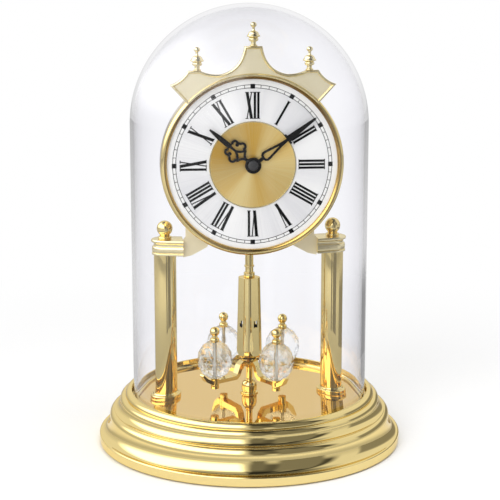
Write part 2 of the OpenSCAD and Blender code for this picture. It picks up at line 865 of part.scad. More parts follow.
module rear_can() color("goldenrod") difference() {
    dial_turned([
        [case_bore_r, plate_back],
        [case_flange_r, plate_back],
        [case_flange_r, plate_back + rear_flange_t],
        [case_r, plate_back + rear_flange_t],
        [case_r, can_back],
        [0, can_back],
        [0, can_back - can_floor],
        [case_bore_r, can_back - can_floor]
    ]);
    translate([-pocket_x - window_gap, can_back - can_floor - cut, battery_z - pocket_h / 2 - window_gap])
        cube([2 * (pocket_x + window_gap), can_floor + 2 * cut, pocket_h + 2 * window_gap]);
    at_setting() across(can_back - can_floor - cut, can_floor + 2 * cut, knob_d / 2 + knob_gap);
    each_case_screw() across(plate_back - cut, rear_flange_t + 2 * cut, case_screw_d / 2 + slip);
    translate([0, 0, dial_z - case_flange_r - cut])
        cylinder(h = case_flange_r - case_bore_r + 3 * cut, r = rod_hole_r);
}

module case_screws() color("silver") each_case_screw() {
    across(plate_y - case_screw_bite, case_screw_bite + plate_t + rear_flange_t, case_screw_d / 2);
    across(plate_back + rear_flange_t, case_screw_head_h, case_screw_head_d / 2);
}

/* Dial */

module bezel() color("gold") dial_turned(concat(
    [[bezel_r, plate_y]],
    arc_pts(
        [dial_view_r + bezel_crest, dial_y + bezel_shoulder],
        bezel_w - bezel_crest, bezel_rise + bezel_shoulder, 0, -90, step_arc
    ),
    arc_pts(
        [dial_view_r + bezel_crest, dial_y - bezel_lip],
        bezel_crest, bezel_rise - bezel_lip, -90, -180, step_arc
    ),
    [[dial_view_r, dial_y], [bezel_r - bezel_wall, dial_y], [bezel_r - bezel_wall, plate_y]]
));

module dial() color("whitesmoke") at_dial() upright(dial_y, dial_t) ring(dial_r, bush_r + slip);

module centre_disc() color("gold") dial_turned([
    [bush_r + slip, dial_y],
    [disc_r, dial_y],
    [disc_r, dial_y - disc_t - rim_rise],
    [disc_r - rim_band, dial_y - disc_t - rim_rise],
    [disc_r - rim_band, dial_y - disc_t],
    [bush_r + slip, dial_y - disc_t]
]);

module fixing_nut() color("gold") at_dial() upright(bush_front, dial_y - disc_t - bush_front)
    ring(nut_round_r, bush_r);

NUMERALS = ["XII", "I", "II", "III", "IIII", "V", "VI", "VII", "VIII", "IX", "X", "XI"];
narrow_pitch = 1.75;
wide_pitch = 3.9;
thick_stroke = 1.15;
wide_stroke = 1.5;
thin_stroke = 0.5;
slant = 1.15;
serif_t = 0.35;
serif_lap = 0.04;
line_w = 0.25;
square_w = 2.3;

function pitch_of(c) = c == "I" ? narrow_pitch : wide_pitch;
function run(s, n) = n == 0 ? 0 : run(s, n - 1) + pitch_of(s[n - 1]);

// A stroke with level ends, from a to b
module stroke(a, b, w) polygon([a - [w / 2, 0], a + [w / 2, 0], b + [w / 2, 0], b - [w / 2, 0]]);

module serif(x, y, w) translate([x - w / 2, y]) square([w, serif_t]);

module letter(c) {
    top = numeral_h - serif_t;
    if (c == "I") {
        stroke([0, 0], [0, numeral_h], thick_stroke);
        for (y = [0, top]) serif(0, y, narrow_pitch + serif_lap);
    }
    if (c == "V") {
        stroke([0, 0], [-slant, numeral_h], wide_stroke);
        stroke([0, 0], [slant, numeral_h], thin_stroke);
        serif(-slant, top, wide_stroke + 2 * serif_t);
        serif(slant, top, 3 * thin_stroke);
    }
    if (c == "X") {
        stroke([slant, 0], [-slant, numeral_h], wide_stroke);
        stroke([-slant, 0], [slant, numeral_h], thin_stroke);
        serif(slant, 0, wide_stroke + serif_t);
        serif(-slant, top, wide_stroke + serif_t);
        serif(-slant, 0, 3 * thin_stroke);
        serif(slant, top, 3 * thin_stroke);
    }
}

module numeral(s) for (i = [0:len(s) - 1])
    translate([run(s, i) + (pitch_of(s[i]) - run(s, len(s))) / 2, numeral_r]) letter(s[i]);

module dial_print() color("black") at_dial() upright(dial_y - ink_t, ink_t) {
    ring(track_r, track_r - line_w);
    ring(track_r - track_w + line_w, track_r - track_w);
    for (i = [0:59]) rotate(6 * i) translate([-line_w / 2, track_r - track_w]) square([line_w, track_w]);
    for (i = [0:11]) rotate(-30 * i) {
        translate([-square_w / 2, track_r - track_w / 2 - square_w / 2]) square(square_w);
        numeral(NUMERALS[i]);
    }
}

/* Hands */

// A shape and its mirror image, both with their points anticlockwise
module pair(points) {
    polygon(points);
    polygon(mirrored(points));
}

strip_w = 1.2;
boss_lap = 0.6;
hour_root = [1.6, 2];
diamond_bow = 0.45;
diamond_low = [0, 5];
diamond_side = [3.4, 7.7];
diamond_top = [0, 11.4];
diamond_tip = [[3, 7.2], [4.3, 7.7], [3, 8.2]];
lobe_end = [2.9, 12.9];
lobe_end_r = 0.9;
spear_neck = [[0, 11], [0, 15.4]];
lobe_path = concat(
    arc_pts([3.9, 10.3], 1.6, 1.6, -125, 70, 10),
    arc_pts([2.7, 14.2], 1.35, 1.35, -40, 150, 9)
);
hour_spear = [
    [0, 14], [1.3, 15.2], [1.25, 22], [0.55, hour_len - 0.3], [0.25, hour_len],
    [-0.25, hour_len], [-0.55, hour_len - 0.3], [-1.25, 22], [-1.3, 15.2]
];

// An open diamond with two lobes on each side of it, and a spear
module hour_shape() {
    translate([-hour_root[0] / 2, hand_boss_r - boss_lap]) square(hour_root);
    pair(ribbon(bow(diamond_low, diamond_side, diamond_bow, ease_arc), strip_w));
    pair(ribbon(bow(diamond_side, diamond_top, diamond_bow, ease_arc), strip_w));
    pair(diamond_tip);
    pair(ribbon(lobe_path, strip_w));
    for (s = side) translate([s * lobe_end[0], lobe_end[1]]) circle(lobe_end_r);
    polygon(ribbon(spear_neck, strip_w));
    polygon(hour_spear);
}

minute_root = [1.8, 3];
crosspiece = [5.6, 1.2];
crosspiece_y = 21.5;
loop_path = [[0, 6.4], [1.3, 6.7], [2.05, 7.8], [1.9, 9.5], [1.25, 13], [0.55, 17], [0.2, 20.5], [0.1, 22]];
minute_spear = [
    [-1.7, 22.5], [1.7, 22.5], [0.6, minute_len - 0.3], [0.3, minute_len],
    [-0.3, minute_len], [-0.6, minute_len - 0.3]
];

// A drop-shaped loop, a crosspiece and a long spear
module minute_shape() {
    translate([-minute_root[0] / 2, hand_boss_r - boss_lap]) square(minute_root);
    pair(ribbon(loop_path, strip_w));
    translate([-crosspiece[0] / 2, crosspiece_y]) square(crosspiece);
    polygon(minute_spear);
}

module hand(y, angle, bore_r) color("black") at_dial() clockwise(angle) upright(y, hand_t) difference() {
    union() {
        circle(hand_boss_r);
        children();
    }
    circle(bore_r);
}

module hour_hand() hand(hour_hand_y, hour_angle, tube_r) hour_shape();
module minute_hand() hand(minute_hand_y, minute_angle, arbor_r) minute_shape();

module hour_wheel() color("gold") at_dial() {
    upright(hour_hand_y, hour_gear_y + hour_gear_t - hour_hand_y) ring(tube_r, tube_in_r);
    upright(hour_gear_y, hour_gear_t) difference() {
        polygon(gear_points(hour_teeth, hour_module, setting_turn));
        circle(tube_in_r);
    }
}

module minute_arbor() color("silver") at_dial() {
    across(arbor_front, block_y + arbor_bite - arbor_front, arbor_r);
    upright(cannon_y, cannon_t) polygon(gear_points(cannon_teeth, cannon_module, setting_turn));
}

module cap_nut() color("dimgray") at_dial() difference() {
    across(minute_hand_y - cap_t, cap_t, cap_r);
    across(arbor_front, arbor_proud + cut, arbor_r);
}

module setting_arbor() color("silver") at_setting() {
    across(setting_front, knob_y + knob_bite - setting_front, arbor_r);
    upright(cannon_y, cannon_t)
        polygon(gear_points(setting_teeth, cannon_module, setting_turn + 180 + 180 / setting_teeth));
    upright(reduction_y, reduction_t)
        polygon(gear_points(reduction_teeth, hour_module, setting_turn + 180 + 180 / reduction_teeth));
}

module setting_knob() color("dimgray") at_setting() difference() {
    upright(knob_y, knob_len) difference() {
        circle(knob_d / 2);
        for (i = [0:flute_count - 1])
            rotate(i * 360 / flute_count) translate([knob_d / 2, 0]) circle(flute_r);
    }
    across(knob_y - cut, knob_bite + cut, arbor_r);
}

/* Movement */

module housing_square(r) square(2 * r, center = true);

module housing_front() color("dimgray") difference() {
    union() {
        at_dial() {
            upright(dial_back, housing_wall) housing_square(housing_r);
            upright(dial_back, housing_split - dial_back) difference() {
                housing_square(housing_r);
                housing_square(housing_in_r);
            }
            across(bush_front, housing_floor_y - bush_front, bush_r);
        }
        at_setting() across(dial_back, housing_wall + setting_boss_h, setting_boss_r);
    }
    at_dial() across(bush_front - cut, housing_floor_y - bush_front + 2 * cut, tube_r + running);
    at_setting() across(setting_front - running, housing_wall + cut, arbor_r + running);
}

module housing_rear() color("dimgray") difference() {
    at_dial() {
        upright(housing_split, housing_back - housing_split) difference() {
            housing_square(housing_r);
            housing_square(housing_in_r);
        }
        upright(housing_back - housing_wall, housing_wall) housing_square(housing_r);
        upright(housing_split, housing_back - housing_split)
            translate([-housing_in_r, -housing_in_r])
                square([2 * housing_in_r, pocket_h + pocket_wall + pocket_low - housing_wall]);
        upright(housing_floor_y, housing_split - housing_floor_y)
            translate([-pocket_x, pocket_low + pocket_h - housing_r]) square([2 * pocket_x, pocket_wall]);
    }
    translate([-pocket_x, housing_floor_y - cut, battery_z - pocket_h / 2])
        cube([2 * pocket_x, housing_depth + 2 * cut, pocket_h]);
    at_setting() across(housing_back - housing_wall - cut, housing_wall + 2 * cut, arbor_r + running);
}

module gear_block() color("white") at_dial() difference() {
    translate([block_x[0], block_y, block_z[0]])
        cube([block_x[1] - block_x[0], block_t, block_z[1] - block_z[0]]);
    across(block_y - cut, arbor_bite + bore_spare + cut, arbor_r + running);
}

coil_x = -20;
coil_len = 12;
coil_y = -7;
coil_r = 3.2;
coil_end_t = 0.8;
core_w = 2;
core_t = 1;
core_gap = 2.8;
core_end_x = core_gap - housing_in_r;
leg_w = 3;
leg_low = 8;
short_leg_x = -5;
core_len = short_leg_x + leg_w - core_end_x;
yoke_len = block_x[0] - free_air - core_end_x;

module along_x(x, t, r) translate([x, coil_y, coil_z]) rotate([0, 90, 0]) cylinder(h = t, r = r);

// A core through the coil, and two legs down to the gear block
module stator() color("silver") at_dial() upright(coil_y - core_t / 2, core_t) {
    translate([core_end_x, coil_z - core_w / 2]) square([core_len, core_w]);
    translate([core_end_x, leg_low]) square([leg_w, coil_z - leg_low + core_w / 2]);
    translate([core_end_x, leg_low]) square([yoke_len, leg_w]);
    translate([short_leg_x, block_z[1] + free_air])
        square([leg_w, coil_z + core_w / 2 - block_z[1] - free_air]);
}

module drive_coil() color("peru") at_dial() difference() {
    union() {
        along_x(coil_x, coil_len, coil_r);
        along_x(coil_x, coil_end_t, coil_end_r);
        along_x(coil_x + coil_len - coil_end_t, coil_end_t, coil_end_r);
    }
    translate([coil_x - cut, coil_y - core_t / 2 - slip, coil_z - core_w / 2 - slip])
        cube([coil_len + 2 * cut, core_t + 2 * slip, core_w + 2 * slip]);
}

// Low corner and size of the board, and of the chip on it
board_gap = 0.8;
board_low = [9, -5, 16];
board_w = housing_in_r - board_gap - board_low[0];
board_h = housing_in_r - board_gap - board_low[2];
board = [board_low, [board_w, 1, board_h]];
chip = [[13, -6, 18], [5, 1.2, 5]];

module circuit_board() color("green") at_dial() for (b = [board, chip]) translate(b[0]) cube(b[1]);

module battery() color("silver") translate([-battery_len / 2, battery_y, battery_z]) rotate([0, 90, 0]) {
    cylinder(h = battery_len - battery_nub_len, d = battery_d);
    cylinder(h = battery_len, r = battery_nub_r);
}

module battery_contacts() color("lightgray") for (s = side)
    translate([s * (pocket_x - contact_t / 2), battery_y, battery_z])
        cube([contact_t, contact_w, contact_w], center = true);

/* Pendulum drive */

module pendulum_drive() color("dimgray") difference() {
    translate([-drive_w / 2, -drive_depth / 2, drive_low]) cube([drive_w, drive_depth, drive_h]);
    translate([0, 0, drive_low - cut]) cylinder(h = drive_cavity_h + cut, r = drive_cavity_r);
    translate([0, 0, drive_low]) cylinder(h = pin_shelf - drive_low + cut, r = pin_r + running);
    translate([0, 0, pin_shelf]) cylinder(h = pin_room, r = pin_head_r + free_air);
    translate([0, 0, drive_low - cut]) linear_extrude(coil_h + free_air + cut)
        ring(coil_out_r + slip, coil_in_r - slip);
}

module pendulum_coil() color("peru") translate([0, 0, drive_low + free_air]) linear_extrude(coil_h)
    ring(coil_out_r, coil_in_r);

module drive_magnet() color("slategray") translate([0, 0, rod_top]) linear_extrude(magnet_t)
    ring(magnet_r, pin_r);

module pivot_pin() color("silver") {
    translate([0, 0, rod_top - pin_bite])
        cylinder(h = pin_shelf + running + pin_head_h - rod_top + pin_bite, r = pin_r);
    translate([0, 0, pin_shelf + running]) cylinder(h = pin_head_h, r = pin_head_r);
}

/* Pediment */

// The right half, from the lower edge to the top, measured from the hands' axis
pediment_half = concat(
    arc_pts([0, 0], pediment_r, pediment_r, 90, pediment_end, 12),
    bow([ear_x, pediment_r - ear_drop], [shoulder_out_x, shoulder_z], ear_bow, 5),
    bow([shoulder_in_x, shoulder_z], [valley_x + valley_w, valley_z], valley_bow, 4),
    bow([valley_x, valley_z], [peak_foot_x, peak_z - peak_foot_drop], peak_bow, 8),
    [[peak_x, peak_z]]
);
pediment_outline = concat(
    [for (i = [1:len(pediment_half) - 1]) pediment_half[i]],
    mirrored([for (i = [1:len(pediment_half) - 1]) pediment_half[i]]),
    [[0, pediment_r]]
);

module pediment() color("gold") at_dial() difference() {
    upright(pediment_y, pediment_t) polygon(pediment_outline);
    upright(pediment_y - cut, pediment_recess + cut) polygon(inset(pediment_outline, pediment_rim));
}

module pediment_pillars() color("gold") each_pillar() difference() {
    across(pediment_y + pediment_t, plate_y - pediment_y - pediment_t, pillar_r);
    across(plate_y - pillar_screw_len - slip, pillar_screw_len + cut, pillar_screw_r + slip);
}

// Radius and height as shares of the height
urn_profile = scaled(concat(
    [[0, 0], [0.164, 0], [0.164, 0.07], [0.1, 0.09], [0.1, 0.25]],
    arc_pts([0.1, 0.345], 0.1, 0.07, -90, 90, 6),
    [[0.28, 0.43], [0.29, 0.47], [0.15, 0.53]],
    arc_pts([0.06, 0.625], 0.085, 0.07, -60, 60, 5),
    [[0.06, 0.71], [0.06, 0.74]],
    arc_pts([0, 0.87], 0.13, 0.13, -60, 90, 8)
), urn_h, urn_h);

module pediment_urns() color("gold") for (p = [[-urn_x, shoulder_z], [0, peak_z], [urn_x, shoulder_z]])
    translate([p[0], urn_y, dial_z + p[1]]) turned(urn_profile);

/* Pendulum */

module pendulum_rod() color("gold") difference() {
    union() {
        translate([0, 0, tower_top]) cylinder(h = rod_top - tower_top, r = rod_r);
        translate([0, 0, tower_top]) cylinder(h = collar_h, r = collar_r);
        translate([0, 0, rod_ring_z]) cylinder(h = rod_ring_h, r = rod_ring_r);
    }
    translate([0, 0, rod_top - pin_bite]) cylinder(h = pin_bite + cut, r = pin_r);
}

// A square spire with slightly rounded corners, from half diagonal r to half diagonal s
module spire(z, h, r, s) {
    face = [
        [-r * tower_square, z],
        [r * tower_square, z],
        [s * tower_square, z + h],
        [-s * tower_square, z + h]
    ];
    intersection() {
        upright(-2 * r, 4 * r) polygon(face);
        rotate([0, 0, 90]) upright(-2 * r, 4 * r) polygon(face);
        translate([0, 0, z]) cylinder(h = h, r1 = r, r2 = s);
    }
}

module tower() color("gold") at_pendulum() difference() {
    spire(tower_z, tower_h, tower_foot_r, tower_top_r);
    spire(tower_z - cut, tower_h + cut - tower_cap, tower_foot_r - tower_wall, tower_top_r - tower_wall);
    for (a = [0, 90]) rotate([0, 0, a]) translate([-2 * tower_foot_r, -window_w / 2, window_z - window_h / 2])
        cube([4 * tower_foot_r, window_w, window_h]);
}

module tower_foot() color("gold") at_pendulum() {
    intersection() {
        turned(concat(
            [[0, tower_z], [0, foot_z]],
            arc_pts([foot_neck_r, tower_z], tower_foot_r - foot_neck_r, foot_h, -90, 0, 10)
        ));
        translate([0, 0, foot_z + foot_h / 2])
            cube([tower_foot_w, tower_foot_w, 2 * foot_h], center = true);
    }
    translate([0, 0, lower_rod_z]) cylinder(h = foot_z - lower_rod_z + cut, r = lower_rod_r);
    translate([0, 0, lower_rod_z - guide_pin_len]) cylinder(h = guide_pin_len + cut, r = guide_pin_r);
}

// One arm from the side: reach, and height above the arms' upper face
arm_side = [
    [3, 7.8], [5.2, 7.4], [7.6, 5.6], [9.2, 1], [10.6, 0], [25.2, 0], [28, 1.3], [31, 4],
    [31.4, 3.4], [29.2, 0], [25.8, -arm_t], [9.6, -arm_t], [7.4, -0.2], [6, 4], [4.6, 5.8], [3, 6]
];
arm_tip_w = 2.6;
arm_plan = [
    [0, -arm_w / 2], [arm_reach + boss_r, -arm_w / 2], [33, -arm_tip_w / 2],
    [33, arm_tip_w / 2], [arm_reach + boss_r, arm_w / 2], [0, arm_w / 2]
];

module arm_cross() color("gold") difference() {
    union() {
        translate([0, 0, hub_z]) cylinder(h = hub_h, r = hub_r);
        each_arm() intersection() {
            translate([0, 0, arm_z]) upright(-arm_w, 2 * arm_w) polygon(arm_side);
            linear_extrude(hub_z + hub_h) polygon(arm_plan);
        }
        each_pin() translate([0, 0, boss_z]) cylinder(h = arm_z - boss_z, r = boss_r);
    }
    translate([0, 0, hub_z - cut]) cylinder(h = hub_h + 2 * cut, r = lower_rod_r);
    each_pin() translate([0, 0, boss_z - cut]) cylinder(h = arm_z - boss_z + 2 * cut, r = ball_pin_r);
}

// Facets: rings of corners, each ring half a side round from the last
crystal_points = [for (i = [0:crystal_rings - 1], j = [0:crystal_sides - 1])
    let (
        lat = crystal_tilt * (2 * i / (crystal_rings - 1) - 1),
        a = (j + i / 2) * 360 / crystal_sides,
        r = crystal_r * cos(lat)
    )
    [r * cos(a), r * sin(a), crystal_half_h * sin(lat) / sin(crystal_tilt)]];
function crystal_at(i, j) = i * crystal_sides + (j + crystal_sides) % crystal_sides;
crystal_faces = concat(
    [[for (j = [0:crystal_sides - 1]) crystal_at(0, j)]],
    [for (i = [0:crystal_rings - 2], j = [0:crystal_sides - 1])
        [crystal_at(i, j), crystal_at(i + 1, j), crystal_at(i, j + 1)]],
    [for (i = [0:crystal_rings - 2], j = [0:crystal_sides - 1])
        [crystal_at(i + 1, j), crystal_at(i + 1, j + 1), crystal_at(i, j + 1)]],
    [[for (j = [crystal_sides - 1:-1:0]) crystal_at(crystal_rings - 1, j)]]
);

module crystal_ball(i) color("azure", 0.5) rotate([0, 0, pendulum_turn + 90 * i])
    translate([arm_reach, 0, crystal_z]) difference() {
        polyhedron(crystal_points, crystal_faces);
        cylinder(h = 2 * crystal_half_h + 2 * cut, r = ball_pin_r + slip, center = true);
    }

module crystal_pins() color("silver") each_pin() translate([0, 0, boss_z - stub_h])
    cylinder(h = crystal_top + knob_bore - boss_z + stub_h, r = ball_pin_r);

module crystal_knobs() color("gold") each_pin() translate([0, 0, crystal_top]) difference() {
    union() {
        cylinder(h = knob_foot[1], r = knob_foot[0]);
        cylinder(h = knob_neck[1], r = knob_neck[0]);
        translate([0, 0, knob_ball_z]) sphere(knob_ball_r);
    }
    translate([0, 0, -cut]) cylinder(h = knob_bore + cut, r = ball_pin_r);
}

module crystal_stubs() color("gold") each_pin() difference() {
    union() {
        translate([0, 0, boss_z - stub_h]) cylinder(h = stub_h, r = stub_r);
        translate([0, 0, arm_z]) cylinder(h = crystal_gap, r = stub_r);
    }
    translate([0, 0, boss_z - stub_h - cut])
        cylinder(h = arm_z + crystal_gap - boss_z + stub_h + 2 * cut, r = ball_pin_r);
}

base_shell();
bottom_cover();
cover_screws();
foot_pads();
deck_plate();
dome_seat();
glass_dome();
guide_cup();
column_left();
column_right();
column_flanges();
tie_rods();
base_nuts();
bracket_left();
bracket_right();
ball_finial_left();
ball_finial_right();
mounting_plate();
plate_screws();
case_ring();
rear_can();
case_screws();
bezel();
dial();
dial_print();
centre_disc();
fixing_nut();
hour_hand();
hour_wheel();
minute_hand();
minute_arbor();
cap_nut();
setting_arbor();
setting_knob();
housing_front();
housing_rear();
gear_block();
stator();
drive_coil();
circuit_board();
battery();
battery_contacts();
pendulum_drive();
pendulum_coil();
drive_magnet();
pivot_pin();
pediment();
pediment_urns();
pediment_pillars();
pendulum_rod();
tower();
tower_foot();
arm_cross();
crystal_ball(0);  // crystal_ball_1
crystal_ball(1);  // crystal_ball_2
crystal_ball(2);  // crystal_ball_3
crystal_ball(3);  // crystal_ball_4
crystal_pins();
crystal_knobs();
crystal_stubs();
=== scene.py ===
# %% [markdown]
# # A table clock with a turning pendulum, under a glass dome
#
# This lesson dresses a clock whose exact solids were made in a CAD program. The solids come in as a fixed
# frame, in metres, with Z up and the dial looking along -Y. Turned, cast and cut pieces that catch the eye
# are rebuilt here as fine meshes with eased edges, and every other solid gets a finish of its own.

import math

import bmesh
import bpy
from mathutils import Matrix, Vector


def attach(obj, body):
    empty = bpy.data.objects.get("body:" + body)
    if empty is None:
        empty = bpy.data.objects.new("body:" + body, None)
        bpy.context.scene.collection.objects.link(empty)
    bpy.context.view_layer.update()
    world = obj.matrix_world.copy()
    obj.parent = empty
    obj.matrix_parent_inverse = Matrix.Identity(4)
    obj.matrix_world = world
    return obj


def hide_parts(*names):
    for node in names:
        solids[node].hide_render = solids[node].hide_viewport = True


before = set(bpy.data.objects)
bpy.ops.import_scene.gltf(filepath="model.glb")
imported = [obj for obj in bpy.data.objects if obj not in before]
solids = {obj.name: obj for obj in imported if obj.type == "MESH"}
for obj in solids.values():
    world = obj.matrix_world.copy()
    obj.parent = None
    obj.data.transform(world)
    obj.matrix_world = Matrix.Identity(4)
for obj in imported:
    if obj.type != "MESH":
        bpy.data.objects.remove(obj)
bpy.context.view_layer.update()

# %% [markdown]
# ## Sizes in millimetres
#
# A clockmaker's drawing is in millimetres, so the outlines below are too, and one factor turns them into
# metres. The sizes that several pieces share are named once.

# %% Shared sizes
MM = 0.001
# Heights above the table: the deck, the foot and the top of the brackets, and the dial's centre
DECK = 24.5
BRACKET = 101.1
BRACKET_TOP = 109.1
DIAL = 149.4
# Depth of the dial's face, in front of the axis
DIAL_FACE = -17.0
# Reach from the axis of the columns and of the pins that carry the crystals
COLUMN_X = 44.2
ARM_REACH = 22.75
# Degrees that the pendulum has turned at rest
PENDULUM_TURN = 32.0
print("dial centre", DIAL, "mm above the table; deck", DECK, "mm")

# %% [markdown]
# ## Outlines
#
# Nearly everything on this clock is turned on a lathe: base, columns, bezel, knobs and balls. A turned piece
# is one closed outline of radius and height, spun round an axis. Two helpers draw such outlines: one samples
# an arc, and one eases sharp corners, because a real edge is always a little round and shows as a fine bright
# line.

# %% Outline helpers


def arc(centre, width, height, start, end, count):
    """Points on an elliptic arc, with angles in degrees."""
    turns = [math.radians(start + (end - start) * i / count) for i in range(count + 1)]
    return [(centre[0] + width * math.cos(t), centre[1] + height * math.sin(t)) for t in turns]


def eased(outline, radius, steps=3, least=25):
    """The closed outline with each corner sharper than least degrees rounded off."""
    made = []
    count = len(outline)
    for i in range(count):
        before, here, after = (Vector(outline[(i + k) % count]) for k in (-1, 0, 1))
        coming, going = here - before, after - here
        if coming.length < 1e-6 or going.length < 1e-6:
            continue
        turn = math.degrees(abs(coming.angle_signed(going, 0.0)))
        if turn < least or (here.x < 1e-6):
            made.append(tuple(here))
            continue
        reach = min(radius, 0.45 * coming.length, 0.45 * going.length)
        start, end = here - coming.normalized() * reach, here + going.normalized() * reach
        for k in range(steps + 1):
            t = k / steps
            made.append(tuple((1 - t) ** 2 * start + 2 * t * (1 - t) * here + t * t * end))
    return made


print("a quarter arc of 4 steps:", [tuple(round(v, 2) for v in p) for p in arc((0, 0), 1, 1, 0, 90, 4)])

# %% [markdown]
# ## From outline to mesh
#
# Blender's Screw modifier could spin an outline too. Building the rings in bmesh gives full control over
# which edges are sharp, so that a mirror finish has clean reflections: an edge where two faces meet at a wide
# angle stays crisp, and all others shade smoothly.

# %% Mesh helpers
SMOOTH_BELOW = math.radians(32)


def finish_mesh(name, work, finishes, body, stands_for):
    """Turns the bmesh into an object in metres, with its finishes, its body and the solids it stands for."""
    bmesh.ops.remove_doubles(work, verts=work.verts, dist=1e-4)
    bmesh.ops.recalc_face_normals(work, faces=work.faces)
    for face in work.faces:
        face.smooth = True
    for edge in work.edges:
        edge.smooth = len(edge.link_faces) == 2 and edge.calc_face_angle(0.0) < SMOOTH_BELOW
    bmesh.ops.scale(work, vec=(MM, MM, MM), verts=work.verts)
    mesh = bpy.data.meshes.new(name)
    work.to_mesh(mesh)
    work.free()
    for finish in finishes:
        mesh.materials.append(finish)
    piece = bpy.data.objects.new(name, mesh)
    bpy.context.scene.collection.objects.link(piece)
    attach(piece, body)
    if stands_for:
        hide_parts(*stands_for)
    print(name, len(mesh.vertices), "points")
    return piece


def spin(work, outline, place=(0, 0, 0), lying=False, turns=160):
    """Adds the outline, spun round the Z axis through place, or round Y where it lies."""
    rings = []
    for radius, height in outline:
        ring = []
        for i in range(turns if radius > 1e-6 else 1):
            a = 2 * math.pi * i / turns
            x, y = radius * math.cos(a), radius * math.sin(a)
            spot = (x, height, -y) if lying else (x, y, height)
            ring.append(work.verts.new([p + q for p, q in zip(spot, place)]))
        rings.append(ring)
    for low, high in zip(rings, rings[1:] + rings[:1]):
        if len(low) == 1 and len(high) == 1:
            continue
        for i in range(turns):
            k = i + 1
            corners = [low[i % len(low)], low[k % len(low)], high[k % len(high)], high[i % len(high)]]
            work.faces.new(list(dict.fromkeys(corners)))


def turned(name, outline, finish, body, stands_for, places=((0, 0, 0),), lying=False,
           turns=160):
    """A turned piece, or a set of alike ones at several places."""
    work = bmesh.new()
    for place in places:
        spin(work, outline, place, lying, turns)
    return finish_mesh(name, work, [finish], body, stands_for)


print("edges below", round(math.degrees(SMOOTH_BELOW)), "degrees shade smoothly")

# %% [markdown]
# ## Colour and shader helpers
#
# A colour read off a screen is an sRGB hex value, while a shader works in linear light, so one function turns
# the one into the other. One more adds a shader node with its settings and links.

# %% Colour and node helpers


def linear(code):
    """Linear RGBA from an sRGB hex code."""
    parts = [int(code[i : i + 2], 16) / 255 for i in (1, 3, 5)]
    return (*(v / 12.92 if v <= 0.04045 else ((v + 0.055) / 1.055) ** 2.4 for v in parts), 1.0)


def add(tree, kind, feeds=None, **settings):
    """Adds a node: settings are its own properties, feeds are the values or links of its inputs."""
    made = tree.nodes.new("ShaderNode" + kind)
    for name, value in settings.items():
        setattr(made, name, value)
    for name, value in (feeds or {}).items():
        if isinstance(value, bpy.types.NodeSocket):
            tree.links.new(value, made.inputs[name])
        else:
            made.inputs[name].default_value = value
    return made


def new_finish(name):
    """An empty material: its tree and its output node."""
    made = bpy.data.materials.new(name)
    made.use_nodes = True
    made.node_tree.nodes.clear()
    return made, made.node_tree, add(made.node_tree, "OutputMaterial")


print("brass in linear light:", [round(v, 3) for v in linear("#e6c68a")])

# %% [markdown]
# ## Polished brass
#
# The base, columns, bezel and knobs are brass, spun or turned, buffed to a mirror and lacquered against
# tarnish. To the eye that is a warm mirror: its own colour shows only as a tint on what it reflects, and the
# tint is paler where the metal is seen flat. The buffing leaves very soft waves, so reflections bend a
# little, and the lacquer adds a thin colourless gloss. A soft wave of about 14 mm and a lacquer that varies
# every 20 mm keep it from looking computed. The deck is rolled sheet with longer waves, and the small
# castings were dipped bright, which leaves them paler and less sharp than buffing does.

# %% Polished brass


def polished_brass(name, code, edge, rough_low, rough_high, wave_mm):
    """Buffed, lacquered brass: soft waves of a given size, and an edge colour where it is seen flat."""
    made, tree, out = new_finish(name)
    spot = add(tree, "TexCoord").outputs["Object"]
    cloud = add(tree, "TexNoise", {"Vector": spot, "Scale": 1 / (20 * MM), "Detail": 3.0})
    gloss = add(tree, "MapRange", {"Value": cloud.outputs["Fac"], "From Min": 0.3, "From Max": 0.7,
                                   "To Min": rough_low, "To Max": rough_high})
    wave = add(tree, "TexNoise", {"Vector": spot, "Scale": 1 / (wave_mm * MM), "Detail": 1.0})
    bump = add(tree, "Bump", {"Height": wave.outputs["Fac"], "Strength": 0.12, "Distance": 0.25 * MM})
    shader = add(tree, "BsdfPrincipled", {
        "Base Color": linear(code), "Specular Tint": linear(edge), "Metallic": 1.0,
        "Roughness": gloss.outputs["Result"], "Normal": bump.outputs["Normal"],
        "Coat Weight": 0.15, "Coat Roughness": 0.03})
    tree.links.new(shader.outputs["BSDF"], out.inputs["Surface"])
    return made


lacquered_brass = polished_brass("Brass_buffed_and_lacquered", "#ecd694", "#f6ecd2", 0.02, 0.05, 14)
deck_brass = polished_brass("Brass_sheet_polished", "#efd29a", "#f8e8c4", 0.03, 0.06, 30)
pale_gilt = polished_brass("Brass_bright_dipped", "#f1e3b6", "#fbf4dc", 0.16, 0.26, 3)
print("made", lacquered_brass.name, deck_brass.name, "and", pale_gilt.name)
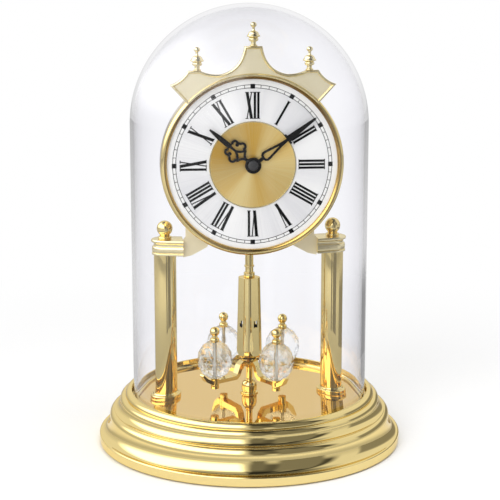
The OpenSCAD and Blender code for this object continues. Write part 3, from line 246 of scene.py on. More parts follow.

# %% [markdown]
# ## Painted shade on the bezel's inner slope
#
# The bezel's inner slope faces the dial. Its colour is brown with painted shade, darkest over the dial and
# paler towards the foot, standing in for the dark band the slope shows at its top. It gives the dial a dark
# upper bow.

# %% Brass with painted shade
shaded_bezel_brass, tree, out = new_finish("Brass_buffed_painted_shade")
spot = add(tree, "TexCoord").outputs["Object"]
place = add(tree, "SeparateXYZ", {"Vector": spot})
cloud = add(tree, "TexNoise", {"Vector": spot, "Scale": 1 / (18 * MM), "Detail": 2.0})
drift = add(tree, "MapRange", {"Value": cloud.outputs["Fac"], "To Min": -25 * MM, "To Max": 25 * MM})
height = add(tree, "Math", {0: place.outputs["Z"], 1: drift.outputs["Result"]}, operation="ADD")
share = add(tree, "MapRange", {"Value": height.outputs[0], "From Min": (DIAL - 20) * MM,
                               "From Max": (DIAL + 35) * MM}, interpolation_type="SMOOTHSTEP")
# Painted shade: the colour runs from gold at the foot to dark brown over the dial
colour = add(tree, "Mix", {"Factor": share.outputs["Result"], "A": linear("#dfb968"), "B": linear("#8a6a34")},
             data_type="RGBA")
shader = add(tree, "BsdfPrincipled", {
    "Base Color": colour.outputs[2], "Metallic": 1.0, "Roughness": 0.12, "Coat Weight": 0.1})
tree.links.new(shader.outputs["BSDF"], out.inputs["Surface"])
print("made", shaded_bezel_brass.name)

# %% [markdown]
# ## Satin brass
#
# The mounting plate and the movement's case are sheet brass that was brushed and lacquered. Brushing leaves
# fine parallel scratches, about 0.1 mm apart. That is finer than a pixel here, so they are drawn about 0.4 mm
# apart, and they spread a highlight across the grain. The plate's lacquer is matt and milky, so only a share
# of its light comes back as from metal, and it looks like pale cream beside the mirrors.

# %% Satin brass


def satin_brass(name, code, metal, rough, stretch):
    """Brushed sheet brass under a matt lacquer, with scratches along the axis that stretch leaves small."""
    made, tree, out = new_finish(name)
    spot = add(tree, "TexCoord").outputs["Object"]
    along = add(tree, "Mapping", {"Vector": spot, "Scale": stretch})
    scratch = add(tree, "TexNoise", {
        "Vector": along.outputs["Vector"], "Scale": 1 / (0.4 * MM), "Detail": 2.0})
    gloss = add(tree, "MapRange", {"Value": scratch.outputs["Fac"], "From Min": 0.3, "From Max": 0.7,
                                   "To Min": rough - 0.06, "To Max": rough + 0.06})
    bump = add(tree, "Bump", {"Height": scratch.outputs["Fac"], "Strength": 0.15, "Distance": 0.02 * MM})
    shader = add(tree, "BsdfPrincipled", {
        "Base Color": linear(code), "Metallic": metal, "Roughness": gloss.outputs["Result"],
        "Normal": bump.outputs["Normal"]})
    tree.links.new(shader.outputs["BSDF"], out.inputs["Surface"])
    return made


brushed_brass = satin_brass("Brass_sheet_brushed", "#f6ebc8", 0.35, 0.42, (0.03, 1.0, 1.0))
case_brass = satin_brass("Brass_case_brushed_round", "#dcc07e", 1.0, 0.34, (1.0, 0.03, 1.0))
print("made", brushed_brass.name, "and", case_brass.name)

# %% [markdown]
# ## Cast panel of the pediment
#
# The pediment over the dial is a casting, plated pale gold. Its recessed panel kept the fine grain of the
# mould, about 0.5 mm across. The grain scatters light, so the panel is partly matt and looks creamy beside
# the bright rim.

# %% Grained panel
grained_panel, tree, out = new_finish("Gilt_casting_grained")
spot = add(tree, "TexCoord").outputs["Object"]
grain = add(tree, "TexNoise", {"Vector": spot, "Scale": 1 / (0.5 * MM), "Detail": 2.0, "Roughness": 0.6})
tone = add(tree, "ValToRGB", {"Fac": grain.outputs["Fac"]})
tone.color_ramp.elements[0].position = 0.3
tone.color_ramp.elements[0].color = linear("#f0e4bc")
tone.color_ramp.elements[1].position = 0.7
tone.color_ramp.elements[1].color = linear("#fbf2d6")
bump = add(tree, "Bump", {"Height": grain.outputs["Fac"], "Strength": 0.5, "Distance": 0.12 * MM})
shader = add(tree, "BsdfPrincipled", {
    "Base Color": tone.outputs["Color"], "Metallic": 0.6, "Roughness": 0.48,
    "Normal": bump.outputs["Normal"]})
tree.links.new(shader.outputs["BSDF"], out.inputs["Surface"])
print("made", grained_panel.name)

# %% [markdown]
# ## Steel, nickel and plated magnets
#
# Screws, nuts and rods are zinc-plated steel: grey, with a soft sheen and cloudy patches a few millimetres
# wide. The pins through the crystals and the pivot are nickel-plated and brighter. One function covers them,
# since only the tint and the gloss differ.

# %% Plated steel


def plated_steel(name, code, rough_low, rough_high):
    """Plated steel with a cloudy sheen."""
    made, tree, out = new_finish(name)
    spot = add(tree, "TexCoord").outputs["Object"]
    cloud = add(tree, "TexNoise", {"Vector": spot, "Scale": 1 / (2.5 * MM), "Detail": 3.0})
    gloss = add(tree, "MapRange", {"Value": cloud.outputs["Fac"], "From Min": 0.3, "From Max": 0.7,
                                   "To Min": rough_low, "To Max": rough_high})
    bump = add(tree, "Bump", {"Height": cloud.outputs["Fac"], "Strength": 0.08, "Distance": 0.05 * MM})
    shader = add(tree, "BsdfPrincipled", {
        "Base Color": linear(code), "Metallic": 1.0, "Roughness": gloss.outputs["Result"],
        "Normal": bump.outputs["Normal"]})
    tree.links.new(shader.outputs["BSDF"], out.inputs["Surface"])
    return made


zinc_steel = plated_steel("Steel_zinc_plated", "#b9bcc0", 0.28, 0.42)
nickel_steel = plated_steel("Steel_nickel_plated", "#cfccc4", 0.1, 0.2)
magnet_nickel = plated_steel("Magnet_nickel_plated", "#a9adb4", 0.16, 0.28)
print("made", zinc_steel.name, nickel_steel.name, magnet_nickel.name)

# %% [markdown]
# ## Glass
#
# The dome is blown soda-lime glass and the balls are cut crystal. Clear glass shows only by its reflections
# and by how it bends what lies behind. Real glass has an IOR of about 1.5, but in the photograph both are so
# well lit from behind that they nearly vanish, so the values here are lower, and the crystals let a share of
# the view straight on. Where glass is seen at a slant it gets a faint lilac grey: partly the longer path
# through it, partly painted shade for its darker edges. Light that reaches the inside of the dome passes
# straight through its thin wall, so rays that only carry light, and mirror images in the brass, see the wall
# as clear. A ray that has gone through glass counts as glossy too, so the mirror images are those rays that
# are glossy and not transmitted.

# %% Glass


def clear_glass(name, tint, edge, ior, gloss, straight, clear_in_mirrors):
    """Clear glass, tinted where it is seen flat, that lets light and a share of the view pass straight on."""
    made, tree, out = new_finish(name)
    spot = add(tree, "TexCoord").outputs["Object"]
    ripple = add(tree, "TexNoise", {"Vector": spot, "Scale": 1 / (45 * MM), "Detail": 1.0})
    bump = add(tree, "Bump", {"Height": ripple.outputs["Fac"], "Strength": 0.03, "Distance": 0.3 * MM})
    # Partly painted shade: a lilac grey towards the edges, where the glass is seen at a slant
    facing = add(tree, "LayerWeight", {"Blend": 0.5})
    flat = add(tree, "MapRange", {"Value": facing.outputs["Facing"], "From Min": 0.35, "From Max": 0.75})
    colour = add(tree, "Mix", {"Factor": flat.outputs["Result"], "A": linear(tint), "B": linear(edge)},
                 data_type="RGBA")
    shader = add(tree, "BsdfPrincipled", {
        "Base Color": colour.outputs[2], "Roughness": 0.0, "IOR": ior, "Specular IOR Level": gloss,
        "Transmission Weight": 1.0, "Normal": bump.outputs["Normal"]})
    path = add(tree, "LightPath")
    light = add(tree, "Math", {0: path.outputs["Is Shadow Ray"], 1: path.outputs["Is Diffuse Ray"]},
                operation="MAXIMUM")
    chosen = add(tree, "Math", {0: light.outputs[0], 1: straight}, operation="MAXIMUM").outputs[0]
    if clear_in_mirrors:
        image = add(tree, "Math", {
            0: path.outputs["Is Glossy Ray"], 1: path.outputs["Is Transmission Ray"]}, operation="SUBTRACT")
        chosen = add(tree, "Math", {0: chosen, 1: image.outputs[0]}, operation="MAXIMUM").outputs[0]
    clear = add(tree, "BsdfTransparent", {"Color": linear("#fbfbfb")})
    mix = add(tree, "MixShader", {"Fac": chosen, 1: shader.outputs["BSDF"], 2: clear.outputs["BSDF"]})
    tree.links.new(mix.outputs["Shader"], out.inputs["Surface"])
    return made


dome_glass = clear_glass("Glass_blown", "#fdfdff", "#f7f6fa", 1.3, 0.25, 0.0, True)
cut_crystal = clear_glass("Crystal_cut_and_polished", "#fdfffe", "#fafdfb", 1.2, 0.5, 0.45, False)
print("made", dome_glass.name, "and", cut_crystal.name)

# %% [markdown]
# ## The dial's white and silver
#
# The dial is a thin metal plate. Its outer ring is painted white, and inside the minute track it is silvered
# and brushed outwards from the middle. The silver's colour has broad, soft sectors and fine rays of lighter
# and
# darker grey: painted sheen, standing in for how the brushing catches the light. The sectors come from a
# noise that is read only by direction from the dial's centre, so it can't vary along a radius.

# %% Dial finish
SILVER_RADIUS = 38.8
dial_finish, tree, out = new_finish("Dial_plate_silvered_and_painted")
spot = add(tree, "TexCoord").outputs["Object"]
offset = add(tree, "VectorMath", {0: spot, 1: (0, 0, DIAL * MM)}, operation="SUBTRACT")
flat = add(tree, "VectorMath", {0: offset.outputs["Vector"], 1: (1, 0, 1)}, operation="MULTIPLY")
radius = add(tree, "VectorMath", {0: flat.outputs["Vector"]}, operation="LENGTH")
heading = add(tree, "VectorMath", {0: flat.outputs["Vector"]}, operation="NORMALIZE")
# Painted sheen: lighter and darker sectors and rays in the silver's colour, by direction from the centre
sheen_sectors = add(tree, "TexNoise", {"Vector": heading.outputs["Vector"], "Scale": 1.9, "Detail": 1.0})
rays = add(tree, "TexNoise", {"Vector": heading.outputs["Vector"], "Scale": 60.0, "Detail": 2.0})
both = add(tree, "Mix", {"Factor": 0.25, "A": sheen_sectors.outputs["Fac"], "B": rays.outputs["Fac"]},
           data_type="FLOAT")
silver = add(tree, "ValToRGB", {"Fac": both.outputs["Result"]})
silver.color_ramp.elements[0].position = 0.36
silver.color_ramp.elements[0].color = linear("#dfdfe1")
silver.color_ramp.elements[1].position = 0.62
silver.color_ramp.elements[1].color = linear("#f5f5f4")
inside = add(tree, "MapRange", {"Value": radius.outputs["Value"], "From Min": (SILVER_RADIUS + 0.1) * MM,
                                "From Max": (SILVER_RADIUS - 0.1) * MM})
coat = add(tree, "Mix", {"Factor": inside.outputs["Result"], "A": linear("#f8f8f6"),
                         "B": silver.outputs["Color"]}, data_type="RGBA")
bump = add(tree, "Bump", {"Height": rays.outputs["Fac"], "Strength": 0.1, "Distance": 0.02 * MM})
shader = add(tree, "BsdfPrincipled", {
    "Base Color": coat.outputs[2], "Metallic": 0.0, "Roughness": 0.38, "Normal": bump.outputs["Normal"]})
tree.links.new(shader.outputs["BSDF"], out.inputs["Surface"])
print("silver out to", SILVER_RADIUS, "mm")

# %% [markdown]
# ## Sunray-brushed centre disc
#
# The gold disc was pressed against a turning brush, so its scratches run outwards like rays. Such a surface
# shows bright fans that turn with the light. Anisotropy with a tangent that runs round the dial's axis does
# that. The colour also gets broad lighter and darker fans and single brighter rays, read by direction:
# painted sheen that stays in place. Real rays are under 0.1 mm wide; these are drawn about 0.5 mm wide at the
# rim so that they show.

# %% Sunray brass
sunray_brass, tree, out = new_finish("Brass_brushed_sunray")
spot = add(tree, "TexCoord").outputs["Object"]
offset = add(tree, "VectorMath", {0: spot, 1: (0, 0, DIAL * MM)}, operation="SUBTRACT")
flat = add(tree, "VectorMath", {0: offset.outputs["Vector"], 1: (1, 0, 1)}, operation="MULTIPLY")
heading = add(tree, "VectorMath", {0: flat.outputs["Vector"]}, operation="NORMALIZE")
rays = add(tree, "TexNoise", {"Vector": heading.outputs["Vector"], "Scale": 45.0, "Detail": 2.0})
# Painted sheen: broad lighter and darker fans and brighter rays in the disc's colour
painted_fans = add(tree, "TexNoise", {"Vector": heading.outputs["Vector"], "Scale": 1.3, "Detail": 0.0})
both = add(tree, "Mix", {"Factor": 0.3, "A": painted_fans.outputs["Fac"], "B": rays.outputs["Fac"]},
           data_type="FLOAT")
tone = add(tree, "ValToRGB", {"Fac": both.outputs["Result"]})
tone.color_ramp.elements[0].position = 0.35
tone.color_ramp.elements[0].color = linear("#eebd52")
tone.color_ramp.elements[1].position = 0.65
tone.color_ramp.elements[1].color = linear("#fbe29c")
bump = add(tree, "Bump", {"Height": rays.outputs["Fac"], "Strength": 0.12, "Distance": 0.02 * MM})
round_axis = add(tree, "Tangent", direction_type="RADIAL", axis="Y")
shader = add(tree, "BsdfPrincipled", {
    "Base Color": tone.outputs["Color"], "Metallic": 0.8, "Roughness": 0.42, "Anisotropic": 0.6,
    "Tangent": round_axis.outputs["Tangent"], "Normal": bump.outputs["Normal"]})
tree.links.new(shader.outputs["BSDF"], out.inputs["Surface"])
print("made", sunray_brass.name)

# %% [markdown]
# ## Paint, ink, plastic, felt and rubber
#
# The other finishes are not metal. Each differs in colour, gloss and the size of its grain: printed ink lies
# matt, the hands are stove-enamelled black, moulded plastic has a fine spark texture, felt is fuzzy with
# fibres, and the dome's seat is sand-coloured rubber. One function serves them, with the grain in
# millimetres.

# %% Matt and moulded finishes


def plain_finish(name, dark, light, rough, grain_mm, relief, sheen=0.0, gloss=0.5):
    """A non-metal with a two-tone grain of a given size."""
    made, tree, out = new_finish(name)
    spot = add(tree, "TexCoord").outputs["Object"]
    grain = add(tree, "TexNoise", {"Vector": spot, "Scale": 1 / (grain_mm * MM), "Detail": 3.0})
    tone = add(tree, "ValToRGB", {"Fac": grain.outputs["Fac"]})
    tone.color_ramp.elements[0].position = 0.35
    tone.color_ramp.elements[0].color = linear(dark)
    tone.color_ramp.elements[1].position = 0.65
    tone.color_ramp.elements[1].color = linear(light)
    bump = add(tree, "Bump", {"Height": grain.outputs["Fac"], "Strength": relief, "Distance": 0.05 * MM})
    shader = add(tree, "BsdfPrincipled", {
        "Base Color": tone.outputs["Color"], "Roughness": rough, "Sheen Weight": sheen,
        "Specular IOR Level": gloss, "Normal": bump.outputs["Normal"]})
    tree.links.new(shader.outputs["BSDF"], out.inputs["Surface"])
    return made


printed_ink = plain_finish("Ink_screen_printed", "#060607", "#0d0d0e", 0.7, 0.4, 0.1, gloss=0.1)
hand_enamel = plain_finish("Enamel_black_stoved", "#080707", "#100f0e", 0.35, 1.0, 0.1, gloss=0.2)
cap_enamel = plain_finish("Enamel_graphite_turned", "#2b2b2c", "#3a3a3b", 0.42, 0.5, 0.15)
black_plastic = plain_finish("ABS_moulded_black", "#151517", "#1f1f22", 0.48, 0.35, 0.3)
white_plastic = plain_finish("POM_moulded_white", "#dcdcd6", "#eaeae4", 0.4, 0.6, 0.15)
green_felt = plain_finish("Felt_wool_green", "#1f3b2a", "#34573f", 0.95, 0.5, 0.9, 0.5)
seat_rubber = plain_finish("Rubber_moulded_sand", "#c3ae7c", "#d3c090", 0.7, 0.6, 0.3)
board_lacquer = plain_finish("Circuit_board_green_mask", "#14532c", "#1e6b3b", 0.35, 1.6, 0.3)
print("made 8 finishes of paint, plastic, felt and rubber")

# %% [markdown]
# ## Copper winding and battery jacket
#
# A coil is enamelled copper wire, 0.1 mm thick, wound in neat layers. Waves along the coil's height give the
# turns, dark between them and bright on each crest: painted shade and painted highlight. They are drawn 0.4
# mm apart so that they show. The battery is a steel can in a plastic jacket with a copper-coloured band at
# one end
# and a dark body: no words are on it.

# %% Winding and jacket
copper_winding, tree, out = new_finish("Copper_wire_wound")
spot = add(tree, "TexCoord").outputs["Object"]
turns_of_wire = add(tree, "TexWave", {"Vector": spot, "Scale": 0.32 / (0.4 * MM), "Distortion": 0.2},
                    wave_type="BANDS", bands_direction="DIAGONAL")
# Painted shade between the turns and painted highlight on their crests
tone = add(tree, "ValToRGB", {"Fac": turns_of_wire.outputs["Fac"]})
tone.color_ramp.elements[0].color = linear("#6e3217")
tone.color_ramp.elements[1].color = linear("#d08350")
bump = add(tree, "Bump", {"Height": turns_of_wire.outputs["Fac"], "Strength": 0.5, "Distance": 0.05 * MM})
shader = add(tree, "BsdfPrincipled", {
    "Base Color": tone.outputs["Color"], "Metallic": 1.0, "Roughness": 0.3, "Normal": bump.outputs["Normal"]})
tree.links.new(shader.outputs["BSDF"], out.inputs["Surface"])

battery_jacket, tree, out = new_finish("Battery_jacket_printed")
spot = add(tree, "TexCoord").outputs["Object"]
place = add(tree, "SeparateXYZ", {"Vector": spot})
bands = add(tree, "ValToRGB", {"Fac": add(tree, "MapRange", {
    "Value": place.outputs["X"], "From Min": -26 * MM, "From Max": 26 * MM}).outputs["Result"]})
bands.color_ramp.interpolation = "CONSTANT"
bands.color_ramp.elements[0].color = linear("#2a2d33")
bands.color_ramp.elements[1].position = 0.68
bands.color_ramp.elements[1].color = linear("#b9854a")
scuff = add(tree, "TexNoise", {"Vector": spot, "Scale": 1 / (3 * MM), "Detail": 3.0})
gloss = add(tree, "MapRange", {"Value": scuff.outputs["Fac"], "To Min": 0.18, "To Max": 0.36})
shader = add(tree, "BsdfPrincipled", {
    "Base Color": bands.outputs["Color"], "Metallic": 0.6, "Roughness": gloss.outputs["Result"]})
tree.links.new(shader.outputs["BSDF"], out.inputs["Surface"])
print("made", copper_winding.name, "and", battery_jacket.name)

# %% [markdown]
# ## Finishes for the solids that stay
#
# Flat, cut and hidden pieces already have their true shape in the CAD model, so they only need their finish.
# The table below names it for every such solid.

# %% Dress the solids
STAYS = {
    "bottom_cover": case_brass, "cover_screws": zinc_steel, "foot_pads": green_felt,
    "deck_plate": deck_brass, "dome_seat": seat_rubber, "tie_rods": zinc_steel, "base_nuts": zinc_steel,
    "mounting_plate": brushed_brass, "plate_screws": zinc_steel, "case_ring": case_brass,
    "rear_can": case_brass, "case_screws": zinc_steel, "dial": dial_finish, "dial_print": printed_ink,
    "fixing_nut": lacquered_brass, "hour_hand": hand_enamel, "hour_wheel": lacquered_brass,
    "minute_hand": hand_enamel, "minute_arbor": nickel_steel, "setting_arbor": nickel_steel,
    "setting_knob": black_plastic, "housing_front": black_plastic, "housing_rear": black_plastic,
    "gear_block": white_plastic, "stator": zinc_steel, "drive_coil": copper_winding,
    "circuit_board": board_lacquer, "battery": battery_jacket, "battery_contacts": nickel_steel,
    "pendulum_drive": black_plastic, "pendulum_coil": copper_winding, "drive_magnet": magnet_nickel,
    "pivot_pin": nickel_steel, "pediment_pillars": lacquered_brass,
    "tower_foot": lacquered_brass, "arm_cross": lacquered_brass, "crystal_pins": nickel_steel,
    "crystal_ball_1": cut_crystal, "crystal_ball_2": cut_crystal, "crystal_ball_3": cut_crystal,
    "crystal_ball_4": cut_crystal,
}
for name, finish in STAYS.items():
    for held in solids[name].material_slots:
        held.material = finish
print(len(STAYS), "solids keep their shape and get a finish")

# %% [markdown]
# ## The moulded base
#
# The base is a bowl-like spinning of sheet brass: a plain band at the foot, a big cove, a bead, a small cove,
# a rounded step and a rim, with a groove for the dome inside. On the real one these mouldings are what bends
# the reflections into bright and dark bands, so each arc has many points.

# %% Base
# Radii of the foot, the bead, the step and the rim, the rounding of the foot's edges, and the small ledge
# that each cove ends with
BASE_R, BEAD_R, STEP_R, RIM_R = 80.0, 74.4, 68.8, 66.0
EDGE = 0.8
LEDGE = 0.3
foot_in, bead_in, step_in, rim_in = BASE_R - EDGE, BEAD_R - 2.4, STEP_R - 2.2, RIM_R - 2.4
foot = arc((foot_in, 1.3), EDGE, EDGE, -90, 0, 8) + arc((foot_in, 4.8), EDGE, EDGE, 0, 90, 8)
big_cove = arc((78.9, 13.5), 78.9 - BEAD_R + LEDGE, 7.9, 270, 180, 30)
bead = [(BEAD_R, 13.5)] + arc((bead_in, 14.2), BEAD_R - bead_in, 3.4, 0, 90, 20)
small_cove = arc((bead_in, 22.0), bead_in - STEP_R + LEDGE, 4.1, 270, 180, 24)
step = [(STEP_R, 22.0)] + arc((step_in, 22.7), STEP_R - step_in, 2.4, 0, 90, 20)
rim = [(RIM_R, 25.1)] + arc((rim_in, 25.4), RIM_R - rim_in, 2.6, 0, 90, 20)
groove = [(62.6, 28.0), (62.6, 24.0), (58.6, 24.0), (58.6, 25.5), (57.4, 25.5)]
deck_seat = [(57.4, 22.9), (54.0, 22.9), (54.0, 21.3)]
hollow = [(65.6, 21.3), (65.6, 16.0), (71.2, 16.0), (71.2, 7.2), (76.8, 4.8), (76.8, 0.5)]
base_outline = foot + big_cove + bead + small_cove + step + rim + groove + deck_seat + hollow
turned("Base_moulding", eased(base_outline, 0.25), lacquered_brass, "base", ["base_shell"], turns=320)

# %% [markdown]
# ## The glass dome
#
# The dome is one bell of glass, 2 mm thick, with a half-round top and a fire-polished rim. A real wall with
# an inside and an outside bends light as real glass does, which a single skin can't.

# %% Dome
DOME_R, DOME_WALL = 61.5, 2.0
DOME_FOOT, DOME_ROUND = 25.0, 168.5
dome_in = DOME_R - DOME_WALL
wall_heights = [DOME_FOOT + (DOME_ROUND - DOME_FOOT) * k / 10 for k in range(1, 10)]
dome_outline = (
    [(dome_in, DOME_FOOT), (DOME_R, DOME_FOOT)]
    + [(DOME_R, z) for z in wall_heights]
    + arc((0, DOME_ROUND), DOME_R, DOME_R, 0, 90, 64)
    + arc((0, DOME_ROUND), dome_in, dome_in, 90, 0, 64)
    + [(dome_in, z) for z in reversed(wall_heights)]
)
turned("Glass_dome", eased(dome_outline, 0.7, least=60), dome_glass, "dome", ["glass_dome"],
       turns=256)

# %% [markdown]
# ## Columns, foot flanges and ball finials
#
# The columns are brass tubes over a steel tie rod. Each stands in a turned foot flange, and a ball screwed on
# the rod's end holds the bracket down. These are plain turned shapes with eased edges.

# %% Columns
COLUMN_R, COLUMN_BORE = 5.8, 4.8
column_outline = eased(
    [(COLUMN_BORE, DECK), (COLUMN_R, DECK), (COLUMN_R, BRACKET), (COLUMN_BORE, BRACKET)], 0.15)
left = [(-COLUMN_X, 0, 0)]
right = [(COLUMN_X, 0, 0)]
turned("Column_left", column_outline, lacquered_brass, "base", ["column_left"], places=left)
turned("Column_right", column_outline, lacquered_brass, "base", ["column_right"], places=right)

# %% Foot flanges
FLANGE_BORE = 5.85
flange_outline = eased(
    [(FLANGE_BORE, 24.5), (7.8, 24.5), (7.8, 26.1), (7.4, 26.5), (6.8, 26.5), (6.6, 26.8), (6.4, 27.2),
     (FLANGE_BORE, 27.2)], 0.2)
turned("Column_flanges", flange_outline, lacquered_brass, "base", ["column_flanges"], places=left + right)

# %% Ball finials
BALL_R, BALL_Z = 4.1, 114.5
ball_outline = (
    [(0, BRACKET_TOP + 0.02), (3.5, BRACKET_TOP + 0.02)]
    + arc((3.1, BRACKET_TOP + 0.7), 0.5, 0.6, -60, 90, 6)
    + [(2.5, BRACKET_TOP + 1.6)]
    + arc((0, BALL_Z), BALL_R, BALL_R, -48, 90, 28)
)
for side, places in (("left", left), ("right", right)):
    turned("Ball_finial_" + side, ball_outline, lacquered_brass, "base", ["ball_finial_" + side],
           places=places, turns=72)

# %% [markdown]
# ## Brackets
#
# Each bracket is a moulded block: round about the column, with straight sides that run inwards to the plate.
# It is built as a loft, one stadium-shaped outline for each height of its moulding, so the moulding runs
# without a break round the front and along both sides.

# %% Moulding of a bracket
BRACKET_REACH = 9.2
BRACKET_SKEW = 12.0
bracket_side = (
    [(6.84, 0.0), (6.84, 0.88)]
    + arc((6.26, 2.8), 0.5, 1.6, -90, 90, 16)
    + [(5.76, 4.56), (5.76, 5.2)]
    + arc((7.2, 5.2), 1.44, 1.36, 180, 100, 8)
    + [(7.2, 6.88), (7.2, 7.52), (6.91, 8.0)]
)


def bracket_ring(half, turn):
    """The outline of the block at one height, from the inner end round the column and back."""
    aim = Vector((math.cos(turn), math.sin(turn)))
    across = Vector((-aim.y, aim.x))
    ends = []
    for sign in (1, -1):
        start = across * half * sign
        ends.append(start + aim * (BRACKET_REACH - start.x) / aim.x)
    around = [turn + math.pi * (0.5 + i / 40) for i in range(41)]
    return [ends[0], *(Vector((half * math.cos(a), half * math.sin(a))) for a in around), ends[1]]


print("a bracket is", bracket_side[-1][1], "mm high and reaches", BRACKET_REACH, "mm inwards")

# %% Brackets


def bracket(name, column_x, mirror, stands_for):
    """A bracket lofted from its moulding, mirrored for the right column."""
    work = bmesh.new()
    levels = []
    for half, height in eased(bracket_side + [(0.0, 8.0), (0.0, 0.0)], 0.15)[:-2]:
        if half > 1:
            levels.append([work.verts.new((column_x + mirror * p.x, p.y, BRACKET + height))
                           for p in bracket_ring(half, math.radians(-BRACKET_SKEW))])
    for low, high in zip(levels, levels[1:]):
        for i in range(len(low)):
            k = (i + 1) % len(low)
            work.faces.new([low[i], low[k], high[k], high[i]])
    work.faces.new(levels[0])
    work.faces.new(levels[-1])
    finish_mesh(name, work, [pale_gilt], "base", [stands_for])


bracket("Bracket_left", -COLUMN_X, 1, "bracket_left")
bracket("Bracket_right", COLUMN_X, -1, "bracket_right")

# %% [markdown]
# ## Bezel
#
# The bezel is a domed brass ring that clamps the dial. Its outer slope mirrors the room and its inner slope,
# past the crest, the floor before the clock. The inner slope's faces get the brass with painted shade as a
# second finish.

# %% Bezel
BEZEL_CREST = 44.9
at_dial = [(0, 0, DIAL)]
bezel_outline = (
    [(46.6, -5.0)]
    + arc((BEZEL_CREST, -16.8), 1.7, 2.2, 0, -90, 20)
    + arc((BEZEL_CREST, -17.4), 1.6, 1.6, -90, -180, 20)
    + [(43.3, -17.0), (45.4, -17.0), (45.4, -5.0)]
)
bezel = turned("Bezel_ring", eased(bezel_outline, 0.15), lacquered_brass, "base", ["bezel"], places=at_dial,
               lying=True, turns=256)
# Second finish: brass with painted shade, for the inner slope
bezel.data.materials.append(shaded_bezel_brass)
for face in bezel.data.polygons:
    x, y, z = face.center
    if math.hypot(x, z - DIAL * MM) < BEZEL_CREST * MM and y < DIAL_FACE * MM:
        face.material_index = 1
print("inner slope faces:", sum(f.material_index for f in bezel.data.polygons))

# %% [markdown]
# ## Centre disc and cap nut
#
# The disc is pressed from thin sheet. Its field is brushed and its raised rim is bright, so the rim's faces
# get a second finish. The cap nut is a small dark dome that holds the hands.

# %% Centre disc
DISC_R, DISC_BORE, DISC_FIELD = 22.2, 3.05, 21.7
disc_outline = [(DISC_BORE, DIAL_FACE), (DISC_R, DIAL_FACE), (DISC_R, DIAL_FACE - 0.45),
                (DISC_FIELD, DIAL_FACE - 0.45), (DISC_FIELD, DIAL_FACE - 0.3), (DISC_BORE, DIAL_FACE - 0.3)]
disc = turned("Centre_disc", eased(disc_outline, 0.05), sunray_brass, "base", ["centre_disc"], places=at_dial,
              lying=True, turns=256)
disc.data.materials.append(pale_gilt)
for face in disc.data.polygons:
    x, _, z = face.center
    if math.hypot(x, z - DIAL * MM) > (DISC_FIELD - 0.1) * MM:
        face.material_index = 1
print("rim faces:", sum(f.material_index for f in disc.data.polygons))

# %% Cap nut
cap_outline = [(0, -20.9), (1.6, -20.86), (2.3, -20.7), (2.6, -20.4), (2.6, -19.8), (1.2, -19.8),
               (1.2, -20.3), (0, -20.3)]
turned("Cap_nut", eased(cap_outline, 0.1), cap_enamel, "minute", ["cap_nut"], at_dial,
       lying=True, turns=64)

# %% [markdown]
# ## Pediment
#
# The pediment is a flat casting with a raised, rounded rim that follows its outline, round a grained panel.
# The outline is moved inwards step by step, each time at another depth, which rolls the rim over its crest
# and down to the panel.

# %% Pediment outline
PEDIMENT_FRONT = -21.6
PEDIMENT_BACK = -19.2


def bow(a, b, height, count):
    """Points from a to b that bow to the left by height."""
    start, end = Vector(a), Vector(b)
    side = Vector((-(end - start).y, (end - start).x)).normalized()
    return [tuple(start + (end - start) * (i / count) + side * 4 * height * (i / count) * (1 - i / count))
            for i in range(count + 1)]


right_half = (
    arc((0, 0), 45.0, 45.0, 90, 43.6, 30)
    + bow((41.6, 40.8), (32.6, 47.8), 1.1, 10)
    + bow((26.5, 47.8), (18.0, 45.85), 0.5, 10)
    + bow((17.0, 45.85), (4.9, 57.4), 2.7, 20)
    + [(4.4, 59.7)]
)
pediment_outline = right_half[1:] + [(-x, z) for x, z in reversed(right_half[1:])] + [(0.0, 45.0)]


def inward(outline, depth):
    """The closed outline moved inwards by depth, for points that run anticlockwise."""
    count = len(outline)
    moved = []
    for i in range(count):
        before, here, after = (Vector(outline[(i + k) % count]) for k in (-1, 0, 1))
        first, second = (here - before).normalized(), (after - here).normalized()
        first, second = Vector((-first.y, first.x)), Vector((-second.y, second.x))
        moved.append(tuple(here + depth * (first + second) / (1 + first.dot(second))))
    return moved


print("pediment outline:", len(pediment_outline), "points")

# %% Pediment
# How far the outline has moved inwards, and its depth there
rim_form = [(0.0, PEDIMENT_BACK), (0.0, -20.9), (0.08, -21.25), (0.3, -21.5), (0.6, PEDIMENT_FRONT),
            (0.85, -21.55), (1.1, -21.3), (1.3, -20.9), (1.4, -20.6)]
work = bmesh.new()
loops = [[work.verts.new((x, depth, DIAL + z)) for x, z in inward(pediment_outline, inset)]
         for inset, depth in rim_form]
for outer, inner in zip(loops, loops[1:]):
    for i in range(len(outer)):
        k = (i + 1) % len(outer)
        work.faces.new([outer[i], outer[k], inner[k], inner[i]])
work.faces.new(loops[0])
panel = work.faces.new(loops[-1])
panel.material_index = 1
finish_mesh("Pediment", work, [pale_gilt, grained_panel], "base", ["pediment"])

# %% [markdown]
# ## Urns on the pediment
#
# Three small turned urns stand on the pediment: each has a foot, a stem, a bowl with a wide brim, a domed
# cover and a bud. The outline is drawn in shares of the urn's height, which is 11.6 mm.

